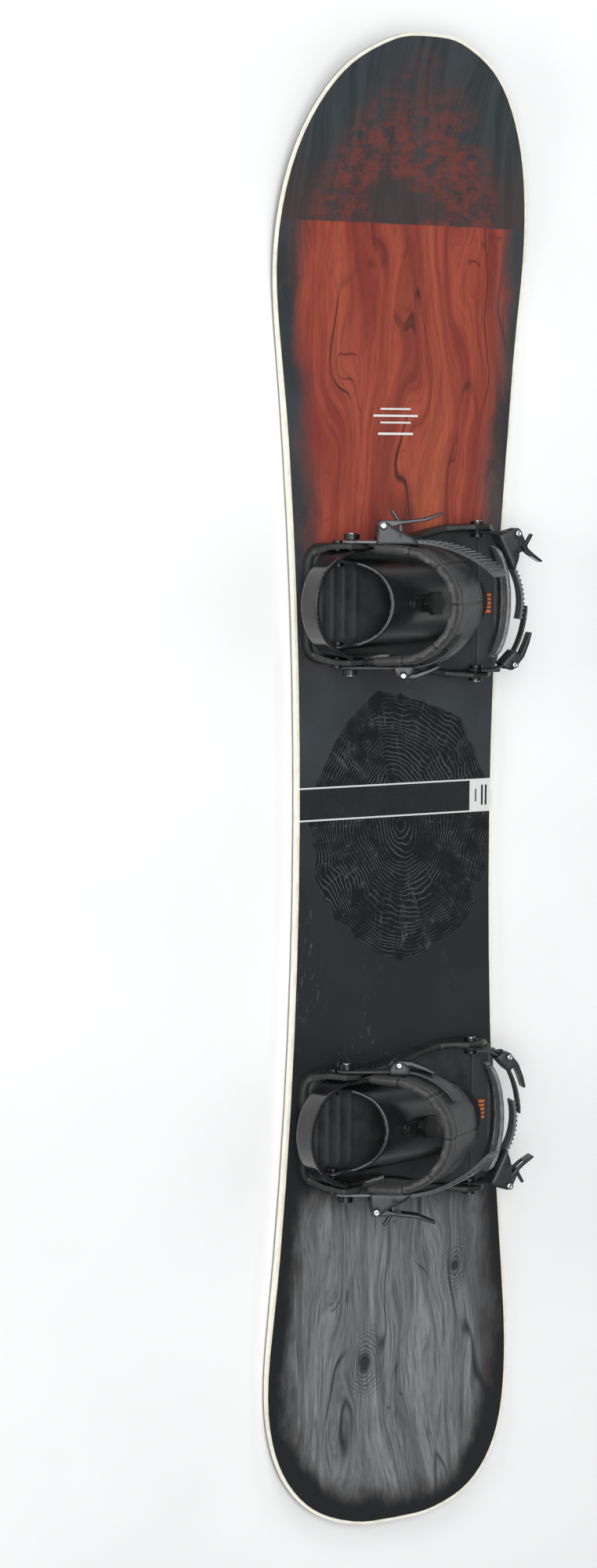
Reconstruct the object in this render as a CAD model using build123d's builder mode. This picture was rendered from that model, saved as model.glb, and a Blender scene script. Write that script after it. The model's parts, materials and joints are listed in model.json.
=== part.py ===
from build123d import *
import os
from math import cos, radians, sin

os.makedirs("parts", exist_ok=True)

# A snowboard with two strap bindings. The board lies flat on its base: +X towards the nose,
# +Y towards the heel edge, +Z up. The origin is on the base, at the middle of the board's length.
# A binding is modelled over its own disc centre, toes towards -Y, with its buckles on the +X side.
# All sizes are in millimetres.

# ---------------------------------------------------------------- driving dimensions: board
BOARD_LENGTH = 1550.0
WAIST_HALF = 125.0          # half the width at the waist
WAIST_X = -60.0             # the waist lies a little behind the middle
NOSE_HALF = 159.0           # half the greatest width, nose
NOSE_WIDE_X = 545.0
TAIL_HALF = 156.6           # half the greatest width, tail
TAIL_WIDE_X = -610.0
NOSE_FULLNESS = 2.25        # exponents of the superellipses that the tips follow: 2 is an ellipse
TAIL_FULLNESS = 2.65
TIP_STEPS = 6
SIDECUT_MARGIN = 65.0       # the sidecut arc stops this far inside the widest places,
SIDECUT_DROP = 5.0          # where the board is narrower by this much on each side
NOSE_RISE = 49.0
NOSE_BEND_X = 444.0         # the base is flat up to here
TAIL_RISE = 14.0
TAIL_BEND_X = -600.0
BOARD_THICK = 9.5           # between the bindings
TIP_THICK = 5.5             # at nose and tail
TAPER_START_NOSE = 350.0
TAPER_START_TAIL = -480.0
TAPER_LENGTH = 200.0
EDGE_HEIGHT = 2.0           # steel edge and base sheet
EDGE_WIDTH = 2.2
SIDEWALL_WIDTH = 7.0
SIDEWALL_INSET = 0.3
TOPSHEET_THICK = 0.8
TOPSHEET_INSET = 3.4        # the sidewall's bevel leaves this much outside the topsheet
INSERT_PITCH = 20.0         # rows of threaded inserts along the board
INSERT_ROWS = 6
INSERT_GAUGE = 40.0         # the two columns of inserts
INSERT_RADIUS = 4.5
INSERT_BORE = 3.1
INSERT_LENGTH = 6.4

# ---------------------------------------------------------------- driving dimensions: bindings
FRONT_STANCE = 197.0        # disc centres along the board
REAR_STANCE = -346.0
BASE_HALF_HEEL = 62.0       # outside of the baseplate's side walls at the heel
BASE_HALF_TOE = 80.0        # and where it flares at the toe
BASE_HEEL_Y = 122.0
BASE_TOE_Y = -124.0
FLOOR_THICK = 5.0
WALL_THICK = 6.0
DISC_RADIUS = 50.0
DISC_LEDGE = 6.0
DISC_FLANGE = 2.4
SCREW_RADIUS = 2.9
SCREW_HEAD_RADIUS = 5.6
FOOTBED_THICK = 8.5
RAMP_START_Y = -92.0
HOOP_RADIUS = 55.7          # outside of the heel hoop
HOOP_THICK = 4.6
HOOP_CENTRE_Y = 88.0
HOOP_LEG_Y = 34.0
PIVOT_Y = 96.0              # highback hinge
PIVOT_Z = 27.0
PIVOT_RADIUS = 4.0
FOLD_ANGLE = 8.0            # the folded highback points this far below level
HIGHBACK_HALF = 46.0
HIGHBACK_DEPTH = 41.0       # from the pivots to the ridge
HIGHBACK_TOP_HALF = 42.0
HIGHBACK_TOP_DEPTH = 37.0
HIGHBACK_LENGTH = 180.0
SHELL = 3.6
HIGHBACK_PAD = 5.0
ANCHOR_Y = 90.0             # ankle strap hinge
ANCHOR_Z = 42.0
ANCHOR_RADIUS = 4.0
TOE_ANCHOR_Y = -80.0        # toe strap hinge
TOE_ANCHOR_Z = 28.0
ARCH_TILT = 32.0            # the ankle strap's width runs this far below level
ARCH_HALF = 51.0            # inside of the ankle strap
ARCH_HEIGHT = 101.0
ARCH_SHOULDER = 52.0        # the strap stands straight up to here
ANKLE_PAD_THICK = 9.0
STRAP_GAP = 2.6             # between the pad and the straps outside it
LADDER_THICK = 2.4
LADDER_TOOTH = 1.3
LADDER_PITCH = 4.4
RUNNING = 0.05              # radial clearance of a pin in its hole
SEAT = 0.1                  # clearance of pieces that are only clamped together
FREE = 0.5                  # clearance of pieces that move past each other
HEEL_CORNER = 22.0          # plan radii of the baseplate's corners
TOE_CORNER = 28.0
FLARE_START_Y = 40.0        # the side walls widen between these two places
FLARE_END_Y = -72.0
TOE_TILT = 70.0             # the toe strap's width runs this far below level
TOE_ARCH_HALF = 62.0        # inside of the toe cap
TOE_ARCH_HEIGHT = 28.0
STRAP_THICK = 3.0           # connector straps
HALF_SPAN = 110.0           # reaches past the side of any binding piece
HOOP_SCREWS = ((44.0, 25.0), (62.0, 29.0))
HOOP_SCREW_RADIUS = 2.0
SLOT_TRAVEL = 8.0
SCREW_HEAD = 2.0
SCREW_GRIP = 6.4            # how far the disc screws reach below the deck
HEEL_RIBS = 4
HEEL_RIB_Y = 106.0
HEEL_RIB_PITCH = 14.0
HEEL_RIB_LENGTH = 74.0
EAR_RADIUS = 11.0
ADJUSTER_RUN = 86.0         # middle of the lean adjuster, from the hinge along the highback
ADJUSTER_TRAVEL = 8.0
ADJUSTER_STEM = 6.0
RUN_ANGLE = 30.0            # the ankle strap leaves its anchors at this angle above level
EYE_RADIUS = 10.0
LADDER_WIDTH = 19.0
TOE_EYE_OUT = 70.2          # inner face of the toe strap's eyes
TOE_EYE_RADIUS = 8.0
TOE_SHIFT = -15.0           # middle of the toe ladder along the toe strap's width
TOE_RATCHET_START = (69.0, 14.0)    # heel end of the toe ratchet, in the plane of the toe arch
TOE_RATCHET_TURN = 155.0    # and its direction there
RATCHET_START = 24.0        # from the anchor to the ankle ratchet
RATCHET_LENGTH = 46.0
ADJUSTER_START = 43.0       # from the anchor to the ankle length adjuster
RATCHET_HALF = 15.0
RATCHET_FOOT = 0.1
CHANNEL_FLOOR = 1.4
CHANNEL_HEIGHT = 5.4
CHANNEL_HALF = 10.2
LEVER_PIN_RUN = 7.0
LEVER_PIN_OUT = 20.5
LEVER_PIN = 2.2
LEVER_HUB = 5.5
LEVER_HALF = 8.5
ANKLE_LEVER_LENGTH = 61.0
TOE_LEVER_LENGTH = 38.0
RELEASE_PIN_RUN = 26.0
RELEASE_PIN_OUT = 10.5
RELEASE_PIN = 1.5
RELEASE_HALF = 3.4
FORK_GAP = 2.0              # room between the release lever and the fork round it
FORK_START = 7.0            # the fork's window, measured from the lever's pin
FORK_END = 29.0
ADJUSTER_PIN_RUN = 10.0     # tool-less length adjusters of the straps
ADJUSTER_PIN_OUT = 11.5
ADJUSTER_HUB = 4.2
ADJUSTER_HALF = 7.5
ARCH_REACH = 40.0

HALF_LENGTH = BOARD_LENGTH / 2
INSERT_DEPTH = BOARD_THICK - TOPSHEET_THICK - INSERT_LENGTH
DECK = BOARD_THICK
STRAP_OUT = ARCH_HALF + ANKLE_PAD_THICK + STRAP_GAP    # inner face of the ankle ladder and connector


def finish(piece, name):
    """Name a finished solid and write it."""
    piece.label = name
    export_step(piece, "parts/" + name + ".step")


# ================================================================ board
def base_height(x):
    """Height of the base above the flat, at x."""
    if x > NOSE_BEND_X:
        return NOSE_RISE * ((x - NOSE_BEND_X) / (HALF_LENGTH - NOSE_BEND_X)) ** 2
    if x < TAIL_BEND_X:
        return TAIL_RISE * ((TAIL_BEND_X - x) / (HALF_LENGTH + TAIL_BEND_X)) ** 2
    return 0.0


def thickness(x):
    """Thickness of the whole lay-up at x."""
    past = max(x - TAPER_START_NOSE, TAPER_START_TAIL - x, 0.0)
    share = min(past / TAPER_LENGTH, 1.0)
    smooth = share * share * (3 - 2 * share)
    return BOARD_THICK - (BOARD_THICK - TIP_THICK) * smooth


def layer_band(lower, upper):
    """A slab between two heights of the lay-up, wider than the board."""
    reach = HALF_LENGTH + 5
    nose = [TAPER_START_NOSE + (reach - TAPER_START_NOSE) * i / 9 for i in range(10)]
    tail = [TAPER_START_TAIL - (reach + TAPER_START_TAIL) * i / 9 for i in range(10)]
    with BuildPart() as slab:
        with BuildSketch(Plane.XZ):
            with BuildLine():
                Spline(*[(x, lower(x)) for x in nose])
                Line((reach, lower(reach)), (reach, upper(reach)))
                Spline(*[(x, upper(x)) for x in reversed(nose)])
                Line((TAPER_START_NOSE, upper(0)), (TAPER_START_TAIL, upper(0)))
                Spline(*[(x, upper(x)) for x in tail])
                Line((-reach, upper(-reach)), (-reach, lower(-reach)))
                Spline(*[(x, lower(x)) for x in reversed(tail)])
                Line((TAPER_START_TAIL, lower(0)), (TAPER_START_NOSE, lower(0)))
            make_face()
        extrude(amount=NOSE_HALF + 5, both=True)
    return slab.part


def tip_curve(wide_x, half, end_x, fullness, inset):
    """Points of a nose or tail, from its widest place to its end: a quarter of a superellipse."""
    reach = end_x - wide_x - inset * (1 if end_x > 0 else -1)
    power = 2 / fullness
    turns = [radians(90 * i / TIP_STEPS) for i in range(TIP_STEPS)]
    points = [(wide_x + reach * sin(turn) ** power, (half - inset) * cos(turn) ** power) for turn in turns]
    return points + [(wide_x + reach, 0)]


def board_outline(inset):
    """Plan view of the board, drawn in by an inset all round."""
    with BuildSketch() as plan:
        with BuildLine():
            cut = ThreePointArc(
                (TAIL_WIDE_X + SIDECUT_MARGIN, TAIL_HALF - SIDECUT_DROP - inset),
                (WAIST_X, WAIST_HALF - inset),
                (NOSE_WIDE_X - SIDECUT_MARGIN, NOSE_HALF - SIDECUT_DROP - inset),
            )
            nose = tip_curve(NOSE_WIDE_X, NOSE_HALF, HALF_LENGTH, NOSE_FULLNESS, inset)
            tail = tip_curve(TAIL_WIDE_X, TAIL_HALF, -HALF_LENGTH, TAIL_FULLNESS, inset)
            Spline(cut @ 1, *nose, tangents=[cut % 1, (0, -1)])
            Spline(cut @ 0, *tail, tangents=[(cut % 0) * -1, (0, -1)])
            mirror(about=Plane.XZ)
        make_face()
    return plan.sketch


def board_layer(outer_inset, inner_inset, lower, upper):
    """One layer of the lay-up: a plan outline, hollow or whole, cut to its place in the thickness."""
    with BuildPart() as layer:
        with BuildSketch():
            add(board_outline(outer_inset))
            if inner_inset:
                add(board_outline(inner_inset), mode=Mode.SUBTRACT)
        extrude(amount=NOSE_RISE + BOARD_THICK + 5)
        add(layer_band(lower, upper), mode=Mode.INTERSECT)
    return layer.part


def edge_top(x):
    """Top of the base sheet and the steel edge."""
    return base_height(x) + EDGE_HEIGHT


def core_top(x):
    """Top of the core and the sidewalls, under the topsheet."""
    return base_height(x) + thickness(x) - TOPSHEET_THICK


def deck_height(x):
    """Top of the topsheet."""
    return base_height(x) + thickness(x)


def insert_points():
    """Plan positions of every threaded insert."""
    half = INSERT_GAUGE / 2
    rows = [(i - INSERT_ROWS // 2) * INSERT_PITCH for i in range(INSERT_ROWS)]
    stances = (FRONT_STANCE, REAR_STANCE)
    return [(stance + row, side) for stance in stances for row in rows for side in (half, -half)]


# Base sheet: polyethylene, framed by the steel edge.
with BuildPart() as base_sheet:
    add(board_layer(EDGE_WIDTH, 0, base_height, edge_top))
finish(base_sheet.part, "base_sheet")

# Steel edge: one strip bent all the way round the base.
with BuildPart() as steel_edge:
    add(board_layer(0, EDGE_WIDTH, base_height, edge_top))
finish(steel_edge.part, "steel_edge")

# Sidewalls: a plastic frame between the edge and the topsheet.
with BuildPart() as sidewalls:
    add(board_layer(SIDEWALL_INSET, SIDEWALL_WIDTH, edge_top, core_top))
finish(sidewalls.part, "sidewalls")

# Wood core with its laminates, drilled for the inserts.
with BuildPart() as wood_core:
    add(board_layer(SIDEWALL_WIDTH, 0, edge_top, core_top))
    with BuildSketch(Plane.XY.offset(INSERT_DEPTH)):
        with Locations(*insert_points()):
            Circle(INSERT_RADIUS)
    extrude(amount=BOARD_THICK, mode=Mode.SUBTRACT)
finish(wood_core.part, "wood_core")

# Topsheet: the printed skin, with a clearance hole over each insert.
with BuildPart() as topsheet:
    add(board_layer(TOPSHEET_INSET, 0, core_top, deck_height))
    with BuildSketch():
        with Locations(*insert_points()):
            Circle(INSERT_BORE)
    extrude(amount=BOARD_THICK + 5, mode=Mode.SUBTRACT)
finish(topsheet.part, "topsheet")

# Threaded inserts: steel sleeves that the binding screws thread into.
with BuildPart() as threaded_inserts:
    with BuildSketch(Plane.XY.offset(INSERT_DEPTH)):
        with Locations(*insert_points()):
            Circle(INSERT_RADIUS)
            Circle(INSERT_BORE, mode=Mode.SUBTRACT)
    extrude(amount=INSERT_LENGTH)
finish(threaded_inserts.part, "threaded_inserts")


# ================================================================ bindings: shared planes
FOLD_RUN = Vector(0, -cos(radians(FOLD_ANGLE)), -sin(radians(FOLD_ANGLE)))
HIGHBACK_SIDE = Plane(origin=(0, PIVOT_Y, PIVOT_Z), x_dir=FOLD_RUN, z_dir=(-1, 0, 0))
HIGHBACK_TOP = Plane(origin=(0, PIVOT_Y, PIVOT_Z), x_dir=FOLD_RUN, z_dir=(0, FOLD_RUN.Z, -FOLD_RUN.Y))
ARCH = Plane(
    origin=(0, ANCHOR_Y, ANCHOR_Z),
    x_dir=(1, 0, 0),
    z_dir=(0, -cos(radians(ARCH_TILT)), -sin(radians(ARCH_TILT))),
)
TOE_ARCH = Plane(
    origin=(0, TOE_ANCHOR_Y, TOE_ANCHOR_Z),
    x_dir=(1, 0, 0),
    z_dir=(0, -cos(radians(TOE_TILT)), -sin(radians(TOE_TILT))),
)


def strap_frame(centre, run, out):
    """A plane on a strap: x along its run, y outwards from the foot, z across its width."""
    return Plane(origin=centre, x_dir=run, z_dir=Vector(*run).cross(Vector(*out)))


def cross_pins(y, z, radius, start, end):
    """A pair of round bars along X, one on each side of the binding."""
    with BuildPart() as bars:
        with BuildSketch(Plane.YZ.offset(start)):
            with Locations((y, z)):
                Circle(radius)
        extrude(amount=end - start)
        mirror(about=Plane.YZ)
    return bars.part


def floor_outline(inset):
    """Plan view of the baseplate, drawn in by an inset all round."""
    heel, toe = BASE_HALF_HEEL - inset, BASE_HALF_TOE - inset
    with BuildSketch() as plan:
        with BuildLine():
            Line((0, BASE_HEEL_Y - inset), (BASE_HALF_HEEL - HEEL_CORNER, BASE_HEEL_Y - inset))
            TangentArc(
                (BASE_HALF_HEEL - HEEL_CORNER, BASE_HEEL_Y - inset),
                (heel, BASE_HEEL_Y - HEEL_CORNER),
                tangent=(1, 0),
            )
            Line((heel, BASE_HEEL_Y - HEEL_CORNER), (heel, FLARE_START_Y))
            Spline((heel, FLARE_START_Y), (toe, FLARE_END_Y), tangents=[(0, -1), (0, -1)])
            Line((toe, FLARE_END_Y), (toe, BASE_TOE_Y + TOE_CORNER))
            TangentArc(
                (toe, BASE_TOE_Y + TOE_CORNER),
                (BASE_HALF_TOE - TOE_CORNER, BASE_TOE_Y + inset),
                tangent=(0, -1),
            )
            Line((BASE_HALF_TOE - TOE_CORNER, BASE_TOE_Y + inset), (0, BASE_TOE_Y + inset))
            mirror(about=Plane.YZ)
        make_face()
    return plan.sketch


def side_slab(plane, points, corner):
    """A slab across the whole binding whose side view is a polygon with rounded corners."""
    with BuildPart() as slab:
        with BuildSketch(plane) as view:
            with BuildLine():
                Polyline(*points, close=True)
            make_face()
            fillet(view.vertices(), corner)
        extrude(amount=HALF_SPAN, both=True)
    return slab.part


def strip_slab(points, width):
    """A slab across the binding whose side view is a strap's run: a line of even width."""
    with BuildPart() as slab:
        with BuildSketch(Plane.YZ):
            with BuildLine():
                Spline(*points)
            trace(line_width=width)
        extrude(amount=HALF_SPAN, both=True)
    return slab.part


def arch_band(plane, half, height, shoulder, thick, before, after):
    """A band bent over the foot: an elliptic arch on straight legs, extruded along the plane's normal."""
    with BuildPart() as band:
        with BuildSketch(plane.offset(before)):
            with Locations((0, shoulder / 2)):
                Rectangle(2 * (half + thick), shoulder)
            with Locations((0, shoulder)):
                Ellipse(half + thick, height + thick - shoulder)
            with Locations((0, shoulder / 2 - ARCH_REACH / 2)):
                Rectangle(2 * half, shoulder + ARCH_REACH, mode=Mode.SUBTRACT)
            with Locations((0, shoulder)):
                Ellipse(half, height - shoulder, mode=Mode.SUBTRACT)
            with Locations((0, -ARCH_REACH)):
                Rectangle(4 * half, 2 * ARCH_REACH, mode=Mode.SUBTRACT)
        extrude(amount=after - before)
    return band.part


# ================================================================ binding: base
def make_baseplate():
    """Floor and side walls in one moulding, bored for the disc, the hoop, the highback and both straps."""
    wall_view = [
        (BASE_HEEL_Y + 3, -2), (BASE_HEEL_Y + 3, 10), (BASE_HEEL_Y - 8, 11), (PIVOT_Y + 8, PIVOT_Z + 12),
        (ANCHOR_Y + 10, ANCHOR_Z + 11), (ANCHOR_Y - 10, ANCHOR_Z + 11), (ANCHOR_Y - 28, ANCHOR_Z - 8),
        (HOOP_LEG_Y + 4, 27), (0, 20), (TOE_ANCHOR_Y + 32, 18), (TOE_ANCHOR_Y + 10, TOE_ANCHOR_Z + 10),
        (TOE_ANCHOR_Y - 9, TOE_ANCHOR_Z + 10), (TOE_ANCHOR_Y - 30, 16),
        (BASE_TOE_Y - 3, 9), (BASE_TOE_Y - 3, -2),
    ]
    with BuildPart() as walls:
        with BuildSketch():
            add(floor_outline(0))
            add(floor_outline(WALL_THICK), mode=Mode.SUBTRACT)
        extrude(amount=ANCHOR_Z + 20)
        add(side_slab(Plane.YZ, wall_view, 2.0), mode=Mode.INTERSECT)
    with BuildPart() as baseplate:
        with BuildSketch():
            add(floor_outline(0))
        extrude(amount=FLOOR_THICK)
        add(walls.part)
        with BuildSketch(Plane.XY.offset(FLOOR_THICK - DISC_FLANGE)):
            Circle(DISC_RADIUS + SEAT)
        extrude(amount=FLOOR_THICK, mode=Mode.SUBTRACT)
        with BuildSketch():
            Circle(DISC_RADIUS - DISC_LEDGE)
        extrude(amount=FLOOR_THICK, mode=Mode.SUBTRACT)
        add(cross_pins(ANCHOR_Y, ANCHOR_Z, ANCHOR_RADIUS + RUNNING, 40, HALF_SPAN), mode=Mode.SUBTRACT)
        add(cross_pins(PIVOT_Y, PIVOT_Z, PIVOT_RADIUS + RUNNING, 40, HALF_SPAN), mode=Mode.SUBTRACT)
        toe_bores = cross_pins(TOE_ANCHOR_Y, TOE_ANCHOR_Z, ANCHOR_RADIUS + RUNNING, 60, HALF_SPAN)
        add(toe_bores, mode=Mode.SUBTRACT)
        for y, z in HOOP_SCREWS:
            add(cross_pins(y, z, HOOP_SCREW_RADIUS + RUNNING, 40, HALF_SPAN), mode=Mode.SUBTRACT)
    return baseplate.part


def disc_screw_points():
    """Where the four screws pass the disc."""
    half = INSERT_GAUGE / 2
    return [(half, half), (half, -half), (-half, half), (-half, -half)]


def make_mounting_disc():
    """Round plate that clamps the baseplate's ledge, with four slots for the screws."""
    with BuildPart() as disc:
        with BuildSketch():
            Circle(DISC_RADIUS - DISC_LEDGE - SEAT)
        extrude(amount=FLOOR_THICK)
        with BuildSketch(Plane.XY.offset(FLOOR_THICK - DISC_FLANGE)):
            Circle(DISC_RADIUS)
        extrude(amount=DISC_FLANGE)
        with BuildSketch():
            with Locations(*disc_screw_points()):
                SlotCenterToCenter(SLOT_TRAVEL, 2 * (SCREW_RADIUS + 0.3))
        extrude(amount=FLOOR_THICK, mode=Mode.SUBTRACT)
        with BuildSketch(Plane.XY.offset(FLOOR_THICK - SCREW_HEAD)):
            with Locations(*disc_screw_points()):
                SlotCenterToCenter(SLOT_TRAVEL, 2 * (SCREW_HEAD_RADIUS + 0.3))
        extrude(amount=SCREW_HEAD, mode=Mode.SUBTRACT)
    return disc.part


def make_disc_screws():
    """Four flat-headed machine screws that reach into the board's inserts."""
    with BuildPart() as screws:
        with BuildSketch(Plane.XY.offset(FLOOR_THICK - SCREW_HEAD)):
            with Locations(*disc_screw_points()):
                Circle(SCREW_HEAD_RADIUS)
        extrude(amount=SCREW_HEAD)
        with BuildSketch(Plane.XY.offset(-SCREW_GRIP)):
            with Locations(*disc_screw_points()):
                Circle(SCREW_RADIUS)
        extrude(amount=SCREW_GRIP + FLOOR_THICK - SCREW_HEAD)
        with BuildSketch(Plane.XY.offset(FLOOR_THICK)):
            with Locations(*disc_screw_points()):
                RegularPolygon(2.4, 6)
        extrude(amount=-1.2, mode=Mode.SUBTRACT)
    return screws.part


def make_footbed():
    """Cushioned liner of the floor, ribbed across at the heel."""
    with BuildPart() as footbed:
        with BuildSketch(Plane.XY.offset(FLOOR_THICK)):
            add(floor_outline(WALL_THICK + SEAT))
            with Locations((0, RAMP_START_Y - HALF_SPAN / 2)):
                Rectangle(2 * HALF_SPAN, HALF_SPAN, mode=Mode.SUBTRACT)
        extrude(amount=FOOTBED_THICK)
        with BuildSketch(Plane.XY.offset(FLOOR_THICK + FOOTBED_THICK)):
            for row in range(HEEL_RIBS):
                with Locations((0, HEEL_RIB_Y - row * HEEL_RIB_PITCH)):
                    Rectangle(HEEL_RIB_LENGTH, 2.6)
        extrude(amount=1.2)
    return footbed.part


def make_toe_ramp():
    """Raised pad under the ball of the foot and the toes."""
    floor_top = FLOOR_THICK
    ramp_view = [
        (RAMP_START_Y - SEAT, floor_top), (RAMP_START_Y - SEAT, floor_top + FOOTBED_THICK),
        (BASE_TOE_Y + 14, floor_top + FOOTBED_THICK + 5), (BASE_TOE_Y + 7, floor_top + FOOTBED_THICK + 1),
        (BASE_TOE_Y + 5, floor_top),
    ]
    with BuildPart() as ramp:
        with BuildSketch(Plane.XY.offset(floor_top)):
            add(floor_outline(WALL_THICK + SEAT))
        extrude(amount=RAMP_START_Y * -1)
        add(side_slab(Plane.YZ, ramp_view, 1.0), mode=Mode.INTERSECT)
    return ramp.part


def make_heel_hoop():
    """Metal hoop round the heel, screwed inside the side walls, that the raised highback rests on."""
    hoop_view = [
        (HOOP_LEG_Y, 18), (PIVOT_Y - 20, 19), (HOOP_CENTRE_Y + HOOP_RADIUS + 2, 30),
        (HOOP_CENTRE_Y + HOOP_RADIUS + 2, 57), (PIVOT_Y, 55), (PIVOT_Y - 30, 44), (HOOP_LEG_Y, 34),
    ]
    with BuildPart() as hoop:
        with BuildSketch():
            for radius, mode in ((HOOP_RADIUS, Mode.ADD), (HOOP_RADIUS - HOOP_THICK, Mode.SUBTRACT)):
                with Locations((0, HOOP_CENTRE_Y)):
                    Circle(radius, mode=mode)
                with Locations((0, HOOP_CENTRE_Y - HALF_SPAN / 2)):
                    Rectangle(2 * radius, HALF_SPAN, mode=mode)
        extrude(amount=ANCHOR_Z + 20)
        add(side_slab(Plane.YZ, hoop_view, 3.0), mode=Mode.INTERSECT)
        add(cross_pins(ANCHOR_Y, ANCHOR_Z, ANCHOR_RADIUS + RUNNING, 40, HALF_SPAN), mode=Mode.SUBTRACT)
        add(cross_pins(PIVOT_Y, PIVOT_Z, PIVOT_RADIUS + RUNNING, 40, HALF_SPAN), mode=Mode.SUBTRACT)
        for y, z in HOOP_SCREWS:
            add(cross_pins(y, z, HOOP_SCREW_RADIUS + RUNNING, 40, HALF_SPAN), mode=Mode.SUBTRACT)
    return hoop.part


def make_hoop_screws():
    """Two pan-headed screws a side that fasten the hoop to the walls."""
    with BuildPart() as screws:
        for y, z in HOOP_SCREWS:
            add(cross_pins(y, z, HOOP_SCREW_RADIUS, HOOP_RADIUS - HOOP_THICK, BASE_HALF_HEEL + 0.1))
            add(cross_pins(y, z, 2 * HOOP_SCREW_RADIUS, BASE_HALF_HEEL, BASE_HALF_HEEL + 2.0))
    return screws.part


# ================================================================ binding: highback
def highback_body(skin, bottom, top):
    """Solid half-cone that the highback's shell is cut from, drawn in by a skin thickness."""
    with BuildPart() as body:
        for run in (bottom, top):
            share = run / HIGHBACK_LENGTH
            half = HIGHBACK_HALF + (HIGHBACK_TOP_HALF - HIGHBACK_HALF) * share
            depth = HIGHBACK_DEPTH + (HIGHBACK_TOP_DEPTH - HIGHBACK_DEPTH) * share
            station = HIGHBACK_SIDE.from_local_coords((run, 0, 0))
            across = Plane(origin=station, x_dir=(1, 0, 0), z_dir=FOLD_RUN)
            with BuildSketch(across):
                Ellipse(half - skin, depth - skin)
        loft()
    return body.part


def highback_plan(start, end, half, corner):
    """Slab with the highback's plan outline, round at its top."""
    with BuildPart() as slab:
        with BuildSketch(HIGHBACK_TOP):
            with Locations(((start + corner) / 2, 0)):
                Rectangle(corner - start, 2 * half)
            with Locations((corner, 0)):
                Ellipse(end - corner, half)
        extrude(amount=HALF_SPAN, both=True)
    return slab.part


def make_highback():
    """Moulded shell behind the calf, folded down over the footbed, with an ear at each hinge."""
    ear = EAR_RADIUS
    side_view = [
        (-ear * 0.9, -2), (-ear * 0.5, -ear * 0.85), (ear * 0.6, -ear * 0.85), (62, 2), (118, 13),
        (HIGHBACK_LENGTH, 20), (HIGHBACK_LENGTH, 50),
        (44, 50), (41, 40), (30, 26), (14, 13), (0, ear * 0.95),
    ]
    with BuildPart() as highback:
        add(highback_body(0, -20, HIGHBACK_LENGTH + 4))
        add(highback_body(SHELL, -24, HIGHBACK_LENGTH + 8), mode=Mode.SUBTRACT)
        add(side_slab(HIGHBACK_SIDE, side_view, 2.0), mode=Mode.INTERSECT)
        add(highback_plan(-30, HIGHBACK_LENGTH, HIGHBACK_HALF + 2, 118), mode=Mode.INTERSECT)
        add(cross_pins(PIVOT_Y, PIVOT_Z, EAR_RADIUS - 1, HIGHBACK_HALF - SHELL, HIGHBACK_HALF))
        add(cross_pins(PIVOT_Y, PIVOT_Z, PIVOT_RADIUS + RUNNING, 20, HALF_SPAN), mode=Mode.SUBTRACT)
        with BuildSketch(HIGHBACK_TOP):
            with Locations((ADJUSTER_RUN, 0)):
                SlotCenterToCenter(2 * ADJUSTER_TRAVEL + 6, ADJUSTER_STEM + 2 * RUNNING)
        extrude(amount=HALF_SPAN, mode=Mode.SUBTRACT)
    return highback.part


def make_highback_pad():
    """Foam liner inside the highback, with a window round the adjuster's nut."""
    pad_view = [(62, 22), (62, 50), (HIGHBACK_LENGTH - 9, 50), (HIGHBACK_LENGTH - 9, 26)]
    with BuildPart() as pad:
        add(highback_body(SHELL + SEAT, 40, HIGHBACK_LENGTH + 4))
        add(highback_body(SHELL + SEAT + HIGHBACK_PAD, 36, HIGHBACK_LENGTH + 8), mode=Mode.SUBTRACT)
        add(side_slab(HIGHBACK_SIDE, pad_view, 2.0), mode=Mode.INTERSECT)
        add(highback_plan(-30, HIGHBACK_LENGTH - 9, HIGHBACK_HALF - 5, 118), mode=Mode.INTERSECT)
        with BuildSketch(HIGHBACK_TOP):
            with Locations((ADJUSTER_RUN, 0)):
                RectangleRounded(2 * ADJUSTER_TRAVEL + 34, 24, 6)
        extrude(amount=HALF_SPAN, mode=Mode.SUBTRACT)
    return pad.part


def make_pivot_screws():
    """Hinge screws of the highback: head outside the wall, spacer, and cap inside the ear."""
    with BuildPart() as screws:
        add(cross_pins(PIVOT_Y, PIVOT_Z, PIVOT_RADIUS, HIGHBACK_HALF - SHELL - 4, BASE_HALF_HEEL + 1))
        add(cross_pins(PIVOT_Y, PIVOT_Z, 5.6, BASE_HALF_HEEL + SEAT, BASE_HALF_HEEL + 3))
        add(cross_pins(PIVOT_Y, PIVOT_Z, 7.0, HIGHBACK_HALF + 0.3, HOOP_RADIUS - HOOP_THICK - 2.7))
        add(cross_pins(PIVOT_Y, PIVOT_Z, 6.0, HIGHBACK_HALF - SHELL - 4, HIGHBACK_HALF - SHELL - 1.2))
    return screws.part


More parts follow.
